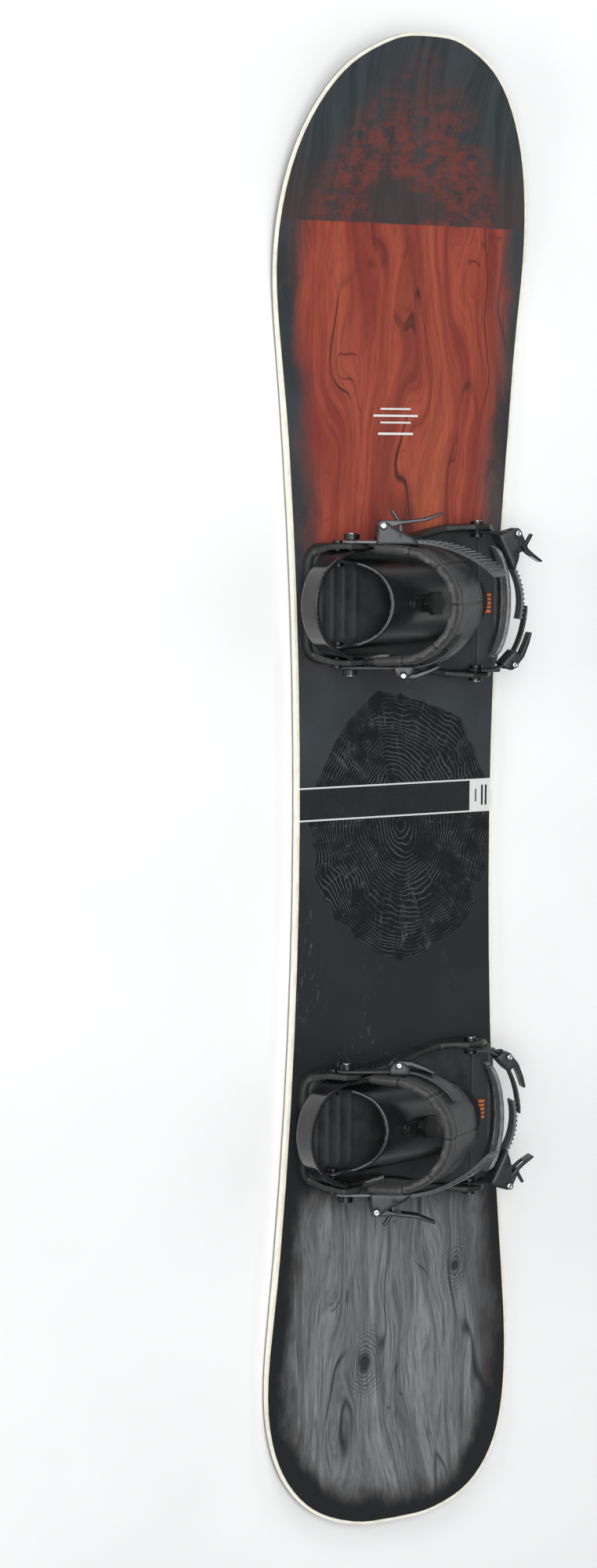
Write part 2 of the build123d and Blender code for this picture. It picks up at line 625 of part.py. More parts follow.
def make_lean_adjuster():
    """Forward-lean stop that slides along the highback's ridge: slider, six-sided lever and round lock."""
    seat_height = HIGHBACK_DEPTH - (HIGHBACK_DEPTH - HIGHBACK_TOP_DEPTH) * 0.33 + FREE
    with BuildPart() as adjuster:
        with BuildSketch(HIGHBACK_TOP.offset(seat_height)):
            with Locations((ADJUSTER_RUN, 0)):
                RectangleRounded(50, 15, 6)
        extrude(amount=2.4)
        with BuildSketch(HIGHBACK_TOP.offset(seat_height + 2.4)):
            with Locations((ADJUSTER_RUN + 10, 0)):
                RegularPolygon(13.5, 6)
        extrude(amount=4.6)
        with BuildSketch(HIGHBACK_TOP.offset(seat_height + 2.4)):
            with Locations((ADJUSTER_RUN - 18, 0)):
                Circle(6.5)
        extrude(amount=5.5)
        with BuildSketch(HIGHBACK_TOP.offset(seat_height - SHELL - 4.5)):
            with Locations((ADJUSTER_RUN, 0)):
                SlotCenterToCenter(6, ADJUSTER_STEM)
        extrude(amount=SHELL + 4.6)
        with BuildSketch(HIGHBACK_TOP.offset(seat_height - SHELL - 6.5)):
            with Locations((ADJUSTER_RUN, 0)):
                RectangleRounded(22, 14, 4)
        extrude(amount=2.6)
    return adjuster.part


# ================================================================ binding: ratchets and adjusters
def make_ratchet_housing(frame, length, channel_start):
    """Ratchet body: a channel for the ladder under a domed cover, slotted for its two levers."""
    view = [
        (0, RATCHET_FOOT), (0, 9), (2, 22), (10, 25),
        (17, 20), (26, 14.5), (length - 8, 9), (length, RATCHET_FOOT),
    ]
    with BuildPart() as housing:
        with BuildSketch(frame):
            with BuildLine():
                Polyline(*view, close=True)
            make_face()
        extrude(amount=RATCHET_HALF, both=True)
        with BuildSketch(frame):
            with Locations((channel_start + length, CHANNEL_FLOOR + CHANNEL_HEIGHT / 2)):
                Rectangle(2 * length, CHANNEL_HEIGHT)
        extrude(amount=CHANNEL_HALF, both=True, mode=Mode.SUBTRACT)
        with BuildSketch(frame):
            with Locations((LEVER_PIN_RUN, LEVER_PIN_OUT + 2)):
                Rectangle(26, 2 * LEVER_HUB + 5)
        extrude(amount=LEVER_HALF + FREE, both=True, mode=Mode.SUBTRACT)
        with BuildSketch(frame):
            with Locations((RELEASE_PIN_RUN, RELEASE_PIN_OUT + 4)):
                Rectangle(14, 14)
        extrude(amount=RELEASE_HALF + FORK_GAP, both=True, mode=Mode.SUBTRACT)
        with BuildSketch(frame):
            with Locations((LEVER_PIN_RUN, LEVER_PIN_OUT)):
                Circle(LEVER_PIN + RUNNING)
            with Locations((RELEASE_PIN_RUN, RELEASE_PIN_OUT)):
                Circle(RELEASE_PIN + RUNNING)
        extrude(amount=2 * RATCHET_HALF, both=True, mode=Mode.SUBTRACT)
    return housing.part


def make_ratchet_lever(frame, reach):
    """Forked ratchet lever with its riveted pin; the release lever stands in the fork."""
    run, out = LEVER_PIN_RUN, LEVER_PIN_OUT
    view = [
        (run - 1, out + LEVER_HUB), (run + 20, out + 5.2),
        (run + reach * 0.7, out + 8), (run + reach, out + 14),
        (run + reach + 1, out + 12), (run + reach * 0.72, out + 4.5), (run + 21, out + 1.5), (run, out - 4),
    ]
    with BuildPart() as lever:
        with BuildSketch(frame):
            with BuildLine():
                Polyline(*view, close=True)
            make_face()
            with Locations((run, out)):
                Circle(LEVER_HUB)
        extrude(amount=LEVER_HALF, both=True)
        with BuildSketch(Plane(origin=frame.origin, x_dir=frame.x_dir, z_dir=frame.y_dir)):
            with Locations((run + (FORK_START + FORK_END) / 2, 0)):
                RectangleRounded(FORK_END - FORK_START, 2 * (RELEASE_HALF + FORK_GAP), 2)
        extrude(amount=60, mode=Mode.SUBTRACT)
        with BuildSketch(frame):
            with Locations((run, out)):
                Circle(LEVER_PIN)
        extrude(amount=RATCHET_HALF + 1, both=True)
    return lever.part


def make_release_lever(frame):
    """Sprung tongue that lifts the ratchet's pawl, with its pin."""
    run, out = RELEASE_PIN_RUN, RELEASE_PIN_OUT
    view = [
        (run - 2.8, out), (run + 2.8, out), (run + 1, out + 13.5), (run - 9, out + 27),
        (run - 11.5, out + 25.5), (run - 2.5, out + 12.5),
    ]
    with BuildPart() as tongue:
        with BuildSketch(frame):
            with BuildLine():
                Polyline(*view, close=True)
            make_face()
            with Locations((run, out)):
                Circle(3)
        extrude(amount=RELEASE_HALF, both=True)
        with BuildSketch(frame):
            with Locations((run, out)):
                Circle(RELEASE_PIN)
        extrude(amount=RATCHET_HALF - 1, both=True)
    return tongue.part


def make_length_adjuster(frame):
    """Bracket that clamps a strap's toothed connector, slotted for its lever."""
    view = [(0, RATCHET_FOOT), (0, 8), (4, 14.5), (15, 14.5), (22, 8), (22, RATCHET_FOOT)]
    with BuildPart() as bracket:
        with BuildSketch(frame):
            with BuildLine():
                Polyline(*view, close=True)
            make_face()
        extrude(amount=RATCHET_HALF - 2, both=True)
        with BuildSketch(frame):
            with Locations((10, CHANNEL_FLOOR + CHANNEL_HEIGHT / 2)):
                Rectangle(60, CHANNEL_HEIGHT)
        extrude(amount=CHANNEL_HALF, both=True, mode=Mode.SUBTRACT)
        with BuildSketch(frame):
            with Locations((ADJUSTER_PIN_RUN + 2, ADJUSTER_PIN_OUT + 2)):
                Rectangle(26, 2 * ADJUSTER_HUB + 5)
        extrude(amount=ADJUSTER_HALF + FREE, both=True, mode=Mode.SUBTRACT)
        with BuildSketch(frame):
            with Locations((ADJUSTER_PIN_RUN, ADJUSTER_PIN_OUT)):
                Circle(LEVER_PIN + RUNNING)
        extrude(amount=2 * RATCHET_HALF, both=True, mode=Mode.SUBTRACT)
    return bracket.part


def make_adjuster_lever(frame):
    """Flip lever of a length adjuster, lying along the strap, with its pin."""
    run, out = ADJUSTER_PIN_RUN, ADJUSTER_PIN_OUT
    view = [
        (run, out + 4.1), (run + 14, out + 3), (run + 28, out - 2.5), (run + 38, out - 8),
        (run + 36.5, out - 10.5), (run + 26, out - 6), (run + 12, out - 1.5), (run, out - 4.1),
    ]
    with BuildPart() as lever:
        with BuildSketch(frame):
            with BuildLine():
                Polyline(*view, close=True)
            make_face()
            with Locations((run, out)):
                Circle(ADJUSTER_HUB)
        extrude(amount=ADJUSTER_HALF, both=True)
        with BuildSketch(frame):
            with Locations((run, out)):
                Circle(LEVER_PIN)
        extrude(amount=RATCHET_HALF - 1.5, both=True)
    return lever.part


# ================================================================ binding: ankle strap
ANKLE_RUN = (0, -cos(radians(RUN_ANGLE)), sin(radians(RUN_ANGLE)))


def along_ankle(distance, out):
    """A point beside the ankle strap's side run, at a distance from the anchor."""
    return (out, ANCHOR_Y + distance * ANKLE_RUN[1], ANCHOR_Z + distance * ANKLE_RUN[2])


PAD_OUT = ARCH_HALF + ANKLE_PAD_THICK
ANKLE_RATCHET = strap_frame(along_ankle(RATCHET_START, PAD_OUT), ANKLE_RUN, (1, 0, 0))
ANKLE_ADJUSTER = strap_frame(along_ankle(ADJUSTER_START, -PAD_OUT), ANKLE_RUN, (-1, 0, 0))


def make_ankle_pad():
    """Padded strap over the instep: a bent band, widest over the foot, narrow at its ends."""
    with BuildPart() as pad:
        with BuildSketch(Plane.YZ):
            with BuildLine():
                upper = Spline((80, 62), (66, 85), (40, 110), (6, 130))
                Polyline(upper @ 1, (-54, 96), (-46, 82))
                Spline((-46, 82), (-8, 66), (28, 56), (60, 51), tangents=[(1, -0.45), (1, -0.1)])
                Line((60, 51), (80, 62))
            make_face()
        extrude(amount=HALF_SPAN, both=True)
        band = arch_band(ARCH, ARCH_HALF, ARCH_HEIGHT, ARCH_SHOULDER, ANKLE_PAD_THICK, -20, 130)
        add(band, mode=Mode.INTERSECT)
    return pad.part


def anchor_eye(out, thick, radius, centre_y, centre_z, to_y, to_z):
    """Flat end of a strap round its anchor screw."""
    with BuildPart() as eye:
        with BuildSketch(Plane.YZ.offset(out)):
            with Locations((centre_y, centre_z)):
                Circle(radius)
            with Locations((to_y, to_z)):
                Circle(radius * 0.75)
            make_hull()
        extrude(amount=thick)
    return eye.part


def make_ankle_connector():
    """Flat strap from the inner anchor through the length adjuster to the side of the pad."""
    run = [along_ankle(0, 0)[1:], along_ankle(34, 0)[1:], along_ankle(66, 0)[1:], (2, 99), (-22, 112)]
    height = ARCH_HEIGHT + STRAP_OUT - ARCH_HALF
    with BuildPart() as connector:
        add(arch_band(ARCH, STRAP_OUT, height, ARCH_SHOULDER, STRAP_THICK, -20, 130))
        add(strip_slab(run, LADDER_WIDTH), mode=Mode.INTERSECT)
        with BuildSketch():
            with Locations((HALF_SPAN - 34, 0)):
                Rectangle(2 * HALF_SPAN, 4 * HALF_SPAN)
        extrude(amount=2 * HALF_SPAN, mode=Mode.SUBTRACT)
        eye = anchor_eye(STRAP_OUT, STRAP_THICK, EYE_RADIUS, ANCHOR_Y, ANCHOR_Z, *along_ankle(14, 0)[1:])
        add(mirror(eye, about=Plane.YZ, mode=Mode.PRIVATE))
        add(cross_pins(ANCHOR_Y, ANCHOR_Z, ANCHOR_RADIUS + RUNNING, 40, HALF_SPAN), mode=Mode.SUBTRACT)
    return connector.part


def make_ankle_ladder():
    """Toothed strap from the outer anchor through the ratchet; its loose end curves round in front."""
    middle = STRAP_OUT + LADDER_THICK / 2
    loose_end = (28, 123)
    run = [along_ankle(0, 0)[1:], along_ankle(34, 0)[1:], along_ankle(66, 0)[1:], (-20, 88), (-74, 90)]
    with BuildPart() as ladder:
        with BuildSketch(ARCH.offset(-20)):
            with BuildLine():
                Line((middle, -14), (middle, 58))
                loose = TangentArc((middle, 58), loose_end, tangent=(0, 1))
            trace(line_width=LADDER_THICK)
            teeth = int(loose.length / LADDER_PITCH)
            for tooth in range(teeth):
                spot = loose.position_at((tooth + 0.5) / teeth)
                along = loose.tangent_at((tooth + 0.5) / teeth)
                outward = Vector(along.Y, -along.X)
                centre = spot + outward * (LADDER_THICK / 2 + LADDER_TOOTH / 2 - 0.1)
                with Locations((centre.X, centre.Y)):
                    Rectangle(
                        LADDER_TOOTH + 0.2,
                        LADDER_PITCH * 0.5,
                        rotation=along.get_signed_angle(Vector(0, 1)) * -1,
                    )
        extrude(amount=160)
        add(strip_slab(run, LADDER_WIDTH), mode=Mode.INTERSECT)
        add(anchor_eye(STRAP_OUT, LADDER_THICK, EYE_RADIUS, ANCHOR_Y, ANCHOR_Z, *along_ankle(14, 0)[1:]))
        add(cross_pins(ANCHOR_Y, ANCHOR_Z, ANCHOR_RADIUS + RUNNING, 40, HALF_SPAN), mode=Mode.SUBTRACT)
    return ladder.part


def make_ankle_anchors():
    """Shouldered screws that the ankle strap turns on, headed outside."""
    with BuildPart() as anchors:
        add(cross_pins(ANCHOR_Y, ANCHOR_Z, ANCHOR_RADIUS, HOOP_RADIUS - HOOP_THICK - 0.4, STRAP_OUT + 4))
        add(cross_pins(ANCHOR_Y, ANCHOR_Z, 8.0, STRAP_OUT + STRAP_THICK + FREE, STRAP_OUT + 9))
    return anchors.part


# ================================================================ binding: toe strap
def on_toe_arch(across, height):
    """World point on the toe arch's plane, at the middle of the toe ladder's width."""
    return TOE_ARCH.from_local_coords((across, height, TOE_SHIFT))


def toe_direction(turn):
    """World direction at an angle in the toe arch's plane."""
    start = TOE_ARCH.from_local_coords((0, 0, 0))
    return TOE_ARCH.from_local_coords((cos(radians(turn)), sin(radians(turn)), 0)) - start


TOE_RATCHET = strap_frame(
    on_toe_arch(*TOE_RATCHET_START),
    toe_direction(TOE_RATCHET_TURN),
    toe_direction(TOE_RATCHET_TURN - 90),
)
TOE_ADJUSTER = strap_frame(on_toe_arch(-64.9, 19.2), toe_direction(42.7), toe_direction(132.7))


def make_toe_cap():
    """Moulded cap in front of the toes: a bent band with a slot along its middle."""
    with BuildPart() as cap:
        add(arch_band(TOE_ARCH, TOE_ARCH_HALF, TOE_ARCH_HEIGHT - 1, 2, 5, -22, 14))
        with BuildSketch(Plane.XZ):
            with Locations((0, TOE_ANCHOR_Z + 13)):
                RectangleRounded(2 * TOE_ARCH_HALF - 8, 34, 14)
        extrude(amount=2 * HALF_SPAN, both=True, mode=Mode.INTERSECT)
        with BuildSketch(Plane.XZ):
            with Locations((0, TOE_ANCHOR_Z + 13)):
                SlotOverall(64, 7)
        extrude(amount=2 * HALF_SPAN, both=True, mode=Mode.SUBTRACT)
    return cap.part


def toe_eye(side):
    """Eye of the toe strap on one side, reaching up to the strap's run."""
    anchor = (TOE_ANCHOR_Y, TOE_ANCHOR_Z)
    eye = anchor_eye(TOE_EYE_OUT, STRAP_THICK, TOE_EYE_RADIUS, *anchor, TOE_ANCHOR_Y - 12, 45)
    return eye if side > 0 else mirror(eye, about=Plane.YZ, mode=Mode.PRIVATE)


def make_toe_connector():
    """Thin strap from the inner anchor round the front of the toe cap."""
    with BuildPart() as connector:
        add(arch_band(TOE_ARCH, TOE_EYE_OUT, 47, 8, 2.4, TOE_SHIFT - 7, TOE_SHIFT + 7))
        with BuildSketch():
            with Locations((HALF_SPAN - 4, 0)):
                Rectangle(2 * HALF_SPAN, 4 * HALF_SPAN)
        extrude(amount=2 * HALF_SPAN, mode=Mode.SUBTRACT)
        add(toe_eye(-1))
        bores = cross_pins(TOE_ANCHOR_Y, TOE_ANCHOR_Z, ANCHOR_RADIUS + RUNNING, 40, HALF_SPAN)
        add(bores, mode=Mode.SUBTRACT)
    return connector.part


def make_toe_ladder():
    """Wide toothed strap through the toe ratchet, tapering to its end."""
    run = Vector(cos(radians(TOE_RATCHET_TURN)), sin(radians(TOE_RATCHET_TURN)))
    out = Vector(run.Y, -run.X)
    start = Vector(*TOE_RATCHET_START) + out * (CHANNEL_FLOOR + LADDER_THICK / 2 + 0.2)
    bend = start + run * RATCHET_LENGTH
    with BuildPart() as ladder:
        with BuildSketch(TOE_ARCH.offset(TOE_SHIFT)):
            with BuildLine():
                straight = Line(start + run * 4, bend)
                loose = TangentArc(bend, (-18, 40), tangent=run)
            trace(line_width=LADDER_THICK)
            for path in (straight, loose):
                teeth = int(path.length / LADDER_PITCH)
                for tooth in range(teeth):
                    along = path.tangent_at((tooth + 0.5) / teeth)
                    outward = Vector(along.Y, -along.X)
                    spot = path.position_at((tooth + 0.5) / teeth)
                    centre = spot + outward * (LADDER_THICK / 2 + LADDER_TOOTH / 2 - 0.1)
                    with Locations((centre.X, centre.Y)):
                        Rectangle(
                            LADDER_TOOTH + 0.2,
                            LADDER_PITCH * 0.5,
                            rotation=along.get_signed_angle(Vector(0, 1)) * -1,
                        )
        extrude(amount=LADDER_WIDTH / 2, both=True)
    return ladder.part


def make_toe_buckle():
    """Toe ratchet with the arm and eye that fasten it to the outer anchor."""
    with BuildPart() as buckle:
        add(make_ratchet_housing(TOE_RATCHET, RATCHET_LENGTH - 4, 3))
        add(toe_eye(1))
        bores = cross_pins(TOE_ANCHOR_Y, TOE_ANCHOR_Z, ANCHOR_RADIUS + RUNNING, 40, HALF_SPAN)
        add(bores, mode=Mode.SUBTRACT)
    return buckle.part


def make_toe_anchors():
    """Screws that the toe strap turns on, through the flared walls."""
    with BuildPart() as anchors:
        add(cross_pins(TOE_ANCHOR_Y, TOE_ANCHOR_Z, ANCHOR_RADIUS, TOE_EYE_OUT - 1, BASE_HALF_TOE + 1))
        add(cross_pins(TOE_ANCHOR_Y, TOE_ANCHOR_Z, 7.0, TOE_EYE_OUT - 3.5, TOE_EYE_OUT - FREE))
        add(cross_pins(TOE_ANCHOR_Y, TOE_ANCHOR_Z, 7.5, BASE_HALF_TOE + SEAT, BASE_HALF_TOE + 3))
    return anchors.part


# ================================================================ the two bindings, placed on the board
BINDING_PIECES = {
    "baseplate": make_baseplate(),
    "mounting_disc": make_mounting_disc(),
    "footbed": make_footbed(),
    "toe_ramp": make_toe_ramp(),
    "heel_hoop": make_heel_hoop(),
    "highback": make_highback(),
    "highback_pad": make_highback_pad(),
    "lean_adjuster": make_lean_adjuster(),
    "ankle_pad": make_ankle_pad(),
    "ankle_connector": make_ankle_connector(),
    "ankle_ladder": make_ankle_ladder(),
    "ankle_buckle": make_ratchet_housing(ANKLE_RATCHET, RATCHET_LENGTH, -RATCHET_LENGTH / 2),
    "ankle_buckle_lever": make_ratchet_lever(ANKLE_RATCHET, ANKLE_LEVER_LENGTH),
    "ankle_release_lever": make_release_lever(ANKLE_RATCHET),
    "ankle_adjuster": make_length_adjuster(ANKLE_ADJUSTER),
    "ankle_adjuster_lever": make_adjuster_lever(ANKLE_ADJUSTER),
    "toe_cap": make_toe_cap(),
    "toe_connector": make_toe_connector(),
    "toe_ladder": make_toe_ladder(),
    "toe_buckle": make_toe_buckle(),
    "toe_buckle_lever": make_ratchet_lever(TOE_RATCHET, TOE_LEVER_LENGTH),
    "toe_release_lever": make_release_lever(TOE_RATCHET),
    "toe_adjuster": make_length_adjuster(TOE_ADJUSTER),
    "toe_adjuster_lever": make_adjuster_lever(TOE_ADJUSTER),
}
SHARED_FASTENERS = {
    "disc_screws": make_disc_screws(),
    "hoop_screws": make_hoop_screws(),
    "highback_pivots": make_pivot_screws(),
    "ankle_anchors": make_ankle_anchors(),
    "toe_anchors": make_toe_anchors(),
}


def on_board(piece, foot):
    """A binding piece in its place on the deck: the rear binding is the front one mirrored."""
    if foot == "rear":
        return mirror(piece, about=Plane.YZ, mode=Mode.PRIVATE).moved(Location((REAR_STANCE, 0, DECK)))
    return piece.moved(Location((FRONT_STANCE, 0, DECK)))


for foot in ("front", "rear"):
    for name, piece in BINDING_PIECES.items():
        finish(on_board(piece, foot), foot + "_" + name)

for name, piece in SHARED_FASTENERS.items():
    with BuildPart() as group:
        for foot in ("front", "rear"):
            add(on_board(piece, foot))
    finish(group.part, name)
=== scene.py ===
import json
from math import cos, radians, sin

import bmesh
import bpy
import numpy as np
from mathutils import Matrix, Vector

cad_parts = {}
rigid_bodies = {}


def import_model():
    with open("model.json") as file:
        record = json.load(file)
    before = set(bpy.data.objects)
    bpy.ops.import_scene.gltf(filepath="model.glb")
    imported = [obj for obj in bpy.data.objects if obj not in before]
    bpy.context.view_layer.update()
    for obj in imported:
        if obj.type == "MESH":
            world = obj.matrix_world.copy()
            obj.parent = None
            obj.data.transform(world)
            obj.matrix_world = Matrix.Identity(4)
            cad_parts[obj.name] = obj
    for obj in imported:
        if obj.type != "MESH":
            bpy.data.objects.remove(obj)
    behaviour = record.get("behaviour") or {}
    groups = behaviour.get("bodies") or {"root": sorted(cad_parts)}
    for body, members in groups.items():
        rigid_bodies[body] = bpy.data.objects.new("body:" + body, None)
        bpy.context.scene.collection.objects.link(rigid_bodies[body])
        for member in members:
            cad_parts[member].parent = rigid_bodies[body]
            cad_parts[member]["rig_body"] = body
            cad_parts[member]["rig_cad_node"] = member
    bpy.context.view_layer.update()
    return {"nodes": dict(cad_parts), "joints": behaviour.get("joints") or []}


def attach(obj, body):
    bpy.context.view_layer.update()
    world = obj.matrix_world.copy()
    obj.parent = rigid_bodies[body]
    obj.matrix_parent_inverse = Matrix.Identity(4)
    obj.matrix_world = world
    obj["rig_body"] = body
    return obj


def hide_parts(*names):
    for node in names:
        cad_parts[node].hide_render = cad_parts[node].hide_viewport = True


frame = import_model()
nodes = frame["nodes"]
bpy.ops.object.select_all(action="DESELECT")

# ---------------------------------------------------------------- topsheet
# The printed nylon sheet on the deck: a red-stained board at the nose, a black tree slice in the
# middle and a grey board at the tail, each fading into charcoal. It has a satin finish.


def new_material(name, slot_colour, roughness):
    """An empty material on one shader, with its viewport colour."""
    material = bpy.data.materials.new(name)
    material.use_nodes = True
    material.diffuse_color = (*slot_colour, 1)
    shader = material.node_tree.nodes["Principled BSDF"]
    shader.inputs["Base Color"].default_value = (*slot_colour, 1)
    shader.inputs["Roughness"].default_value = roughness
    return material, shader


def put(material, kind, inputs=(), **settings):
    """Adds a shader node, sets it up and wires its inputs."""
    node = material.node_tree.nodes.new(kind)
    for key, value in settings.items():
        setattr(node, key, value)
    for key, value in dict(inputs).items():
        if isinstance(value, bpy.types.NodeSocket):
            material.node_tree.links.new(value, node.inputs[key])
        else:
            node.inputs[key].default_value = value
    return node


def maths(material, operation, *values):
    """One Math node on up to three values."""
    return put(material, "ShaderNodeMath", enumerate(values), operation=operation).outputs[0]


def position(material, scale=(1, 1, 1), shift=(0, 0, 0)):
    """Object coordinates in metres, stretched and shifted."""
    coordinates = put(material, "ShaderNodeTexCoord").outputs["Object"]
    return put(
        material, "ShaderNodeMapping", {"Vector": coordinates, "Scale": scale, "Location": shift}
    ).outputs[0]


def noise(material, vector, scale, detail=3.0, roughness=0.5, distortion=0.0):
    """Soft random patches between 0 and 1."""
    return put(
        material, "ShaderNodeTexNoise",
        {"Vector": vector, "Scale": scale, "Detail": detail, "Roughness": roughness,
         "Distortion": distortion},
    ).outputs["Fac"]


def between(material, value, low, high, low_out=0.0, high_out=1.0, style="SMOOTHSTEP"):
    """Maps a value from one span to another, held at its ends."""
    return put(
        material, "ShaderNodeMapRange",
        {"Value": value, "From Min": low, "From Max": high, "To Min": low_out, "To Max": high_out},
        interpolation_type=style,
    ).outputs["Result"]


def tint(material, amount, first, second, mode="MIX"):
    """Mixes two colours by an amount."""
    node = put(material, "ShaderNodeMix", data_type="RGBA", blend_type=mode, clamp_factor=True)
    for socket, value in ((node.inputs[0], amount), (node.inputs[6], first),
                          (node.inputs[7], second)):
        if isinstance(value, bpy.types.NodeSocket):
            material.node_tree.links.new(value, socket)
        elif isinstance(value, tuple):
            socket.default_value = (*value, 1)
        else:
            socket.default_value = value
    return node.outputs[2]


def connect(material, value, shader, socket):
    """Wires a value to a socket of the shader."""
    material.node_tree.links.new(value, shader.inputs[socket])


def bumped(material, shader, height, strength, distance, normal=None):
    """Relief of a few hundredths of a millimetre or more, from a height."""
    inputs = {"Height": height, "Strength": strength, "Distance": distance}
    if normal is not None:
        inputs["Normal"] = normal
    relief = put(material, "ShaderNodeBump", inputs).outputs[0]
    connect(material, relief, shader, "Normal")
    return relief


charcoal = (0.030, 0.037, 0.041)
print_art, print_shader = new_material("topsheet_print", charcoal, 0.42)
place = put(print_art, "ShaderNodeSeparateXYZ", {"Vector": position(print_art)})
along, across = place.outputs[0], place.outputs[1]

HALF_LENGTH = 0.775

# The board's half width, so that borders follow its outline.
width_curve = put(print_art, "ShaderNodeFloatCurve", {"Value": between(
    print_art, along, -HALF_LENGTH, HALF_LENGTH, style="LINEAR")})
outline = width_curve.mapping.curves[0]
outline.points[0].location = (0, 0.0)
outline.points[1].location = (1, 0.0)
for share, half in ((0.008, 0.30), (0.03, 0.53), (0.106, 0.783), (0.2, 0.737), (0.33, 0.655),
                    (0.46, 0.625), (0.6, 0.653), (0.75, 0.739), (0.852, 0.795), (0.93, 0.62),
                    (0.98, 0.33)):
    outline.points.new(share, half)
width_curve.mapping.update()
half_width = maths(print_art, "MULTIPLY", width_curve.outputs[0], 0.2)
side = maths(print_art, "ABSOLUTE", across)
from_edge = maths(print_art, "SUBTRACT", half_width, side)
from_tail = maths(print_art, "ADD", along, HALF_LENGTH)
ragged = maths(print_art, "MULTIPLY", maths(
    print_art, "SUBTRACT", noise(print_art, position(print_art, (0.5, 1, 1)), 26, 6, 0.62), 0.5),
    0.05)

# Wood figure: growth lines run along the board and wander, with fine pores between them.
sway = maths(print_art, "MULTIPLY", maths(
    print_art, "SUBTRACT", noise(print_art, position(print_art, (1.0, 3.0, 1)), 3.2, 2), 0.5),
    0.13)
figure = put(print_art, "ShaderNodeCombineXYZ", {
    "X": maths(print_art, "MULTIPLY", along, 0.06),
    "Y": maths(print_art, "ADD", across, sway)}).outputs[0]
streaks = noise(print_art, figure, 70, 4, 0.6)
broad = noise(print_art, figure, 16, 2, 0.5)
fine_streaks = noise(print_art, figure, 330, 4, 0.7)
pores = noise(print_art, position(print_art, (0.045, 1, 1)), 520, 2, 0.6)
crack_field = put(print_art, "ShaderNodeCombineXYZ", {
    "X": maths(print_art, "MULTIPLY", along, 0.16),
    "Y": maths(print_art, "ADD", across, maths(print_art, "MULTIPLY", sway, 1.4))}).outputs[0]
cracks = put(print_art, "ShaderNodeTexNoise", {
    "Vector": crack_field, "Scale": 15, "Detail": 1.5, "Roughness": 0.4}).outputs["Fac"]
crack_line = between(print_art, maths(print_art, "ABSOLUTE", maths(
    print_art, "SUBTRACT", cracks, 0.5)), 0.0, 0.012, 1.0, 0.0)
crack_line = maths(print_art, "MULTIPLY", crack_line, between(
    print_art, noise(print_art, position(print_art, (0.7, 3, 1)), 7, 2), 0.42, 0.6))
thin_field = noise(print_art, crack_field, 34, 2, 0.5)
thin_crack = between(print_art, maths(print_art, "ABSOLUTE", maths(
    print_art, "SUBTRACT", thin_field, 0.54)), 0.0, 0.010, 0.75, 0.0)
crack_line = maths(print_art, "MAXIMUM", crack_line, maths(
    print_art, "MULTIPLY", thin_crack, between(print_art, noise(
        print_art, position(print_art, (1.2, 4, 1), (3, 1, 0)), 6, 2), 0.48, 0.62)))

red = tint(print_art, between(print_art, streaks, 0.3, 0.72), (0.185, 0.030, 0.022),
           (0.33, 0.066, 0.036))
red = tint(print_art, between(print_art, broad, 0.5, 0.72, 0, 0.7), red, (0.40, 0.105, 0.047))
red = tint(print_art, between(print_art, broad, 0.28, 0.45, 0.5, 0), red, (0.10, 0.022, 0.018))
red = tint(print_art, between(print_art, pores, 0.45, 0.7, 0, 0.3), red, (0.12, 0.024, 0.018))
red = tint(print_art, between(print_art, fine_streaks, 0.46, 0.70, 0, 0.55), red,
           (0.115, 0.024, 0.018))
red = tint(print_art, maths(print_art, "MULTIPLY", crack_line, 0.9), red, (0.02, 0.010, 0.010))
grey = tint(print_art, between(print_art, streaks, 0.3, 0.7), (0.095, 0.102, 0.104),
            (0.225, 0.235, 0.235))
grey = tint(print_art, between(print_art, broad, 0.52, 0.72, 0, 0.6), grey, (0.29, 0.30, 0.295))
grey = tint(print_art, between(print_art, broad, 0.3, 0.46, 0.65, 0), grey, (0.042, 0.046, 0.048))
grey = tint(print_art, between(print_art, pores, 0.42, 0.68, 0, 0.42), grey, (0.06, 0.064, 0.066))
grey = tint(print_art, between(print_art, fine_streaks, 0.44, 0.68, 0, 0.7), grey,
            (0.045, 0.048, 0.050))
grey = tint(print_art, maths(print_art, "MULTIPLY", crack_line, 0.9), grey, (0.014, 0.015, 0.016))

# Two knots in the grey board, each a dark eye with rings round it.
for knot_x, knot_y, knot_size in ((-0.604, 0.031, 0.011), (-0.512, -0.084, 0.008)):
    spot = put(print_art, "ShaderNodeMapping", {
        "Vector": position(print_art), "Location": (-knot_x * 0.75, -knot_y, 0),
        "Scale": (0.75, 1, 0)})
    distance = put(print_art, "ShaderNodeVectorMath", {0: spot.outputs[0]},
                   operation="LENGTH").outputs[1]
    distance = maths(print_art, "ADD", distance, maths(print_art, "MULTIPLY", maths(
        print_art, "SUBTRACT", noise(print_art, position(print_art), 70, 2), 0.5), 0.008))
    rings = between(print_art, maths(print_art, "SINE", maths(
        print_art, "MULTIPLY", distance, 1900)), -0.2, 0.9)
    halo = between(print_art, distance, knot_size, knot_size * 3.4, 0.75, 0)
    grey = tint(print_art, maths(print_art, "MULTIPLY", rings, halo), grey, (0.03, 0.032, 0.033))
    grey = tint(print_art, between(print_art, distance, knot_size * 0.35, knot_size, 0.85, 0),
                grey, (0.012, 0.012, 0.012))

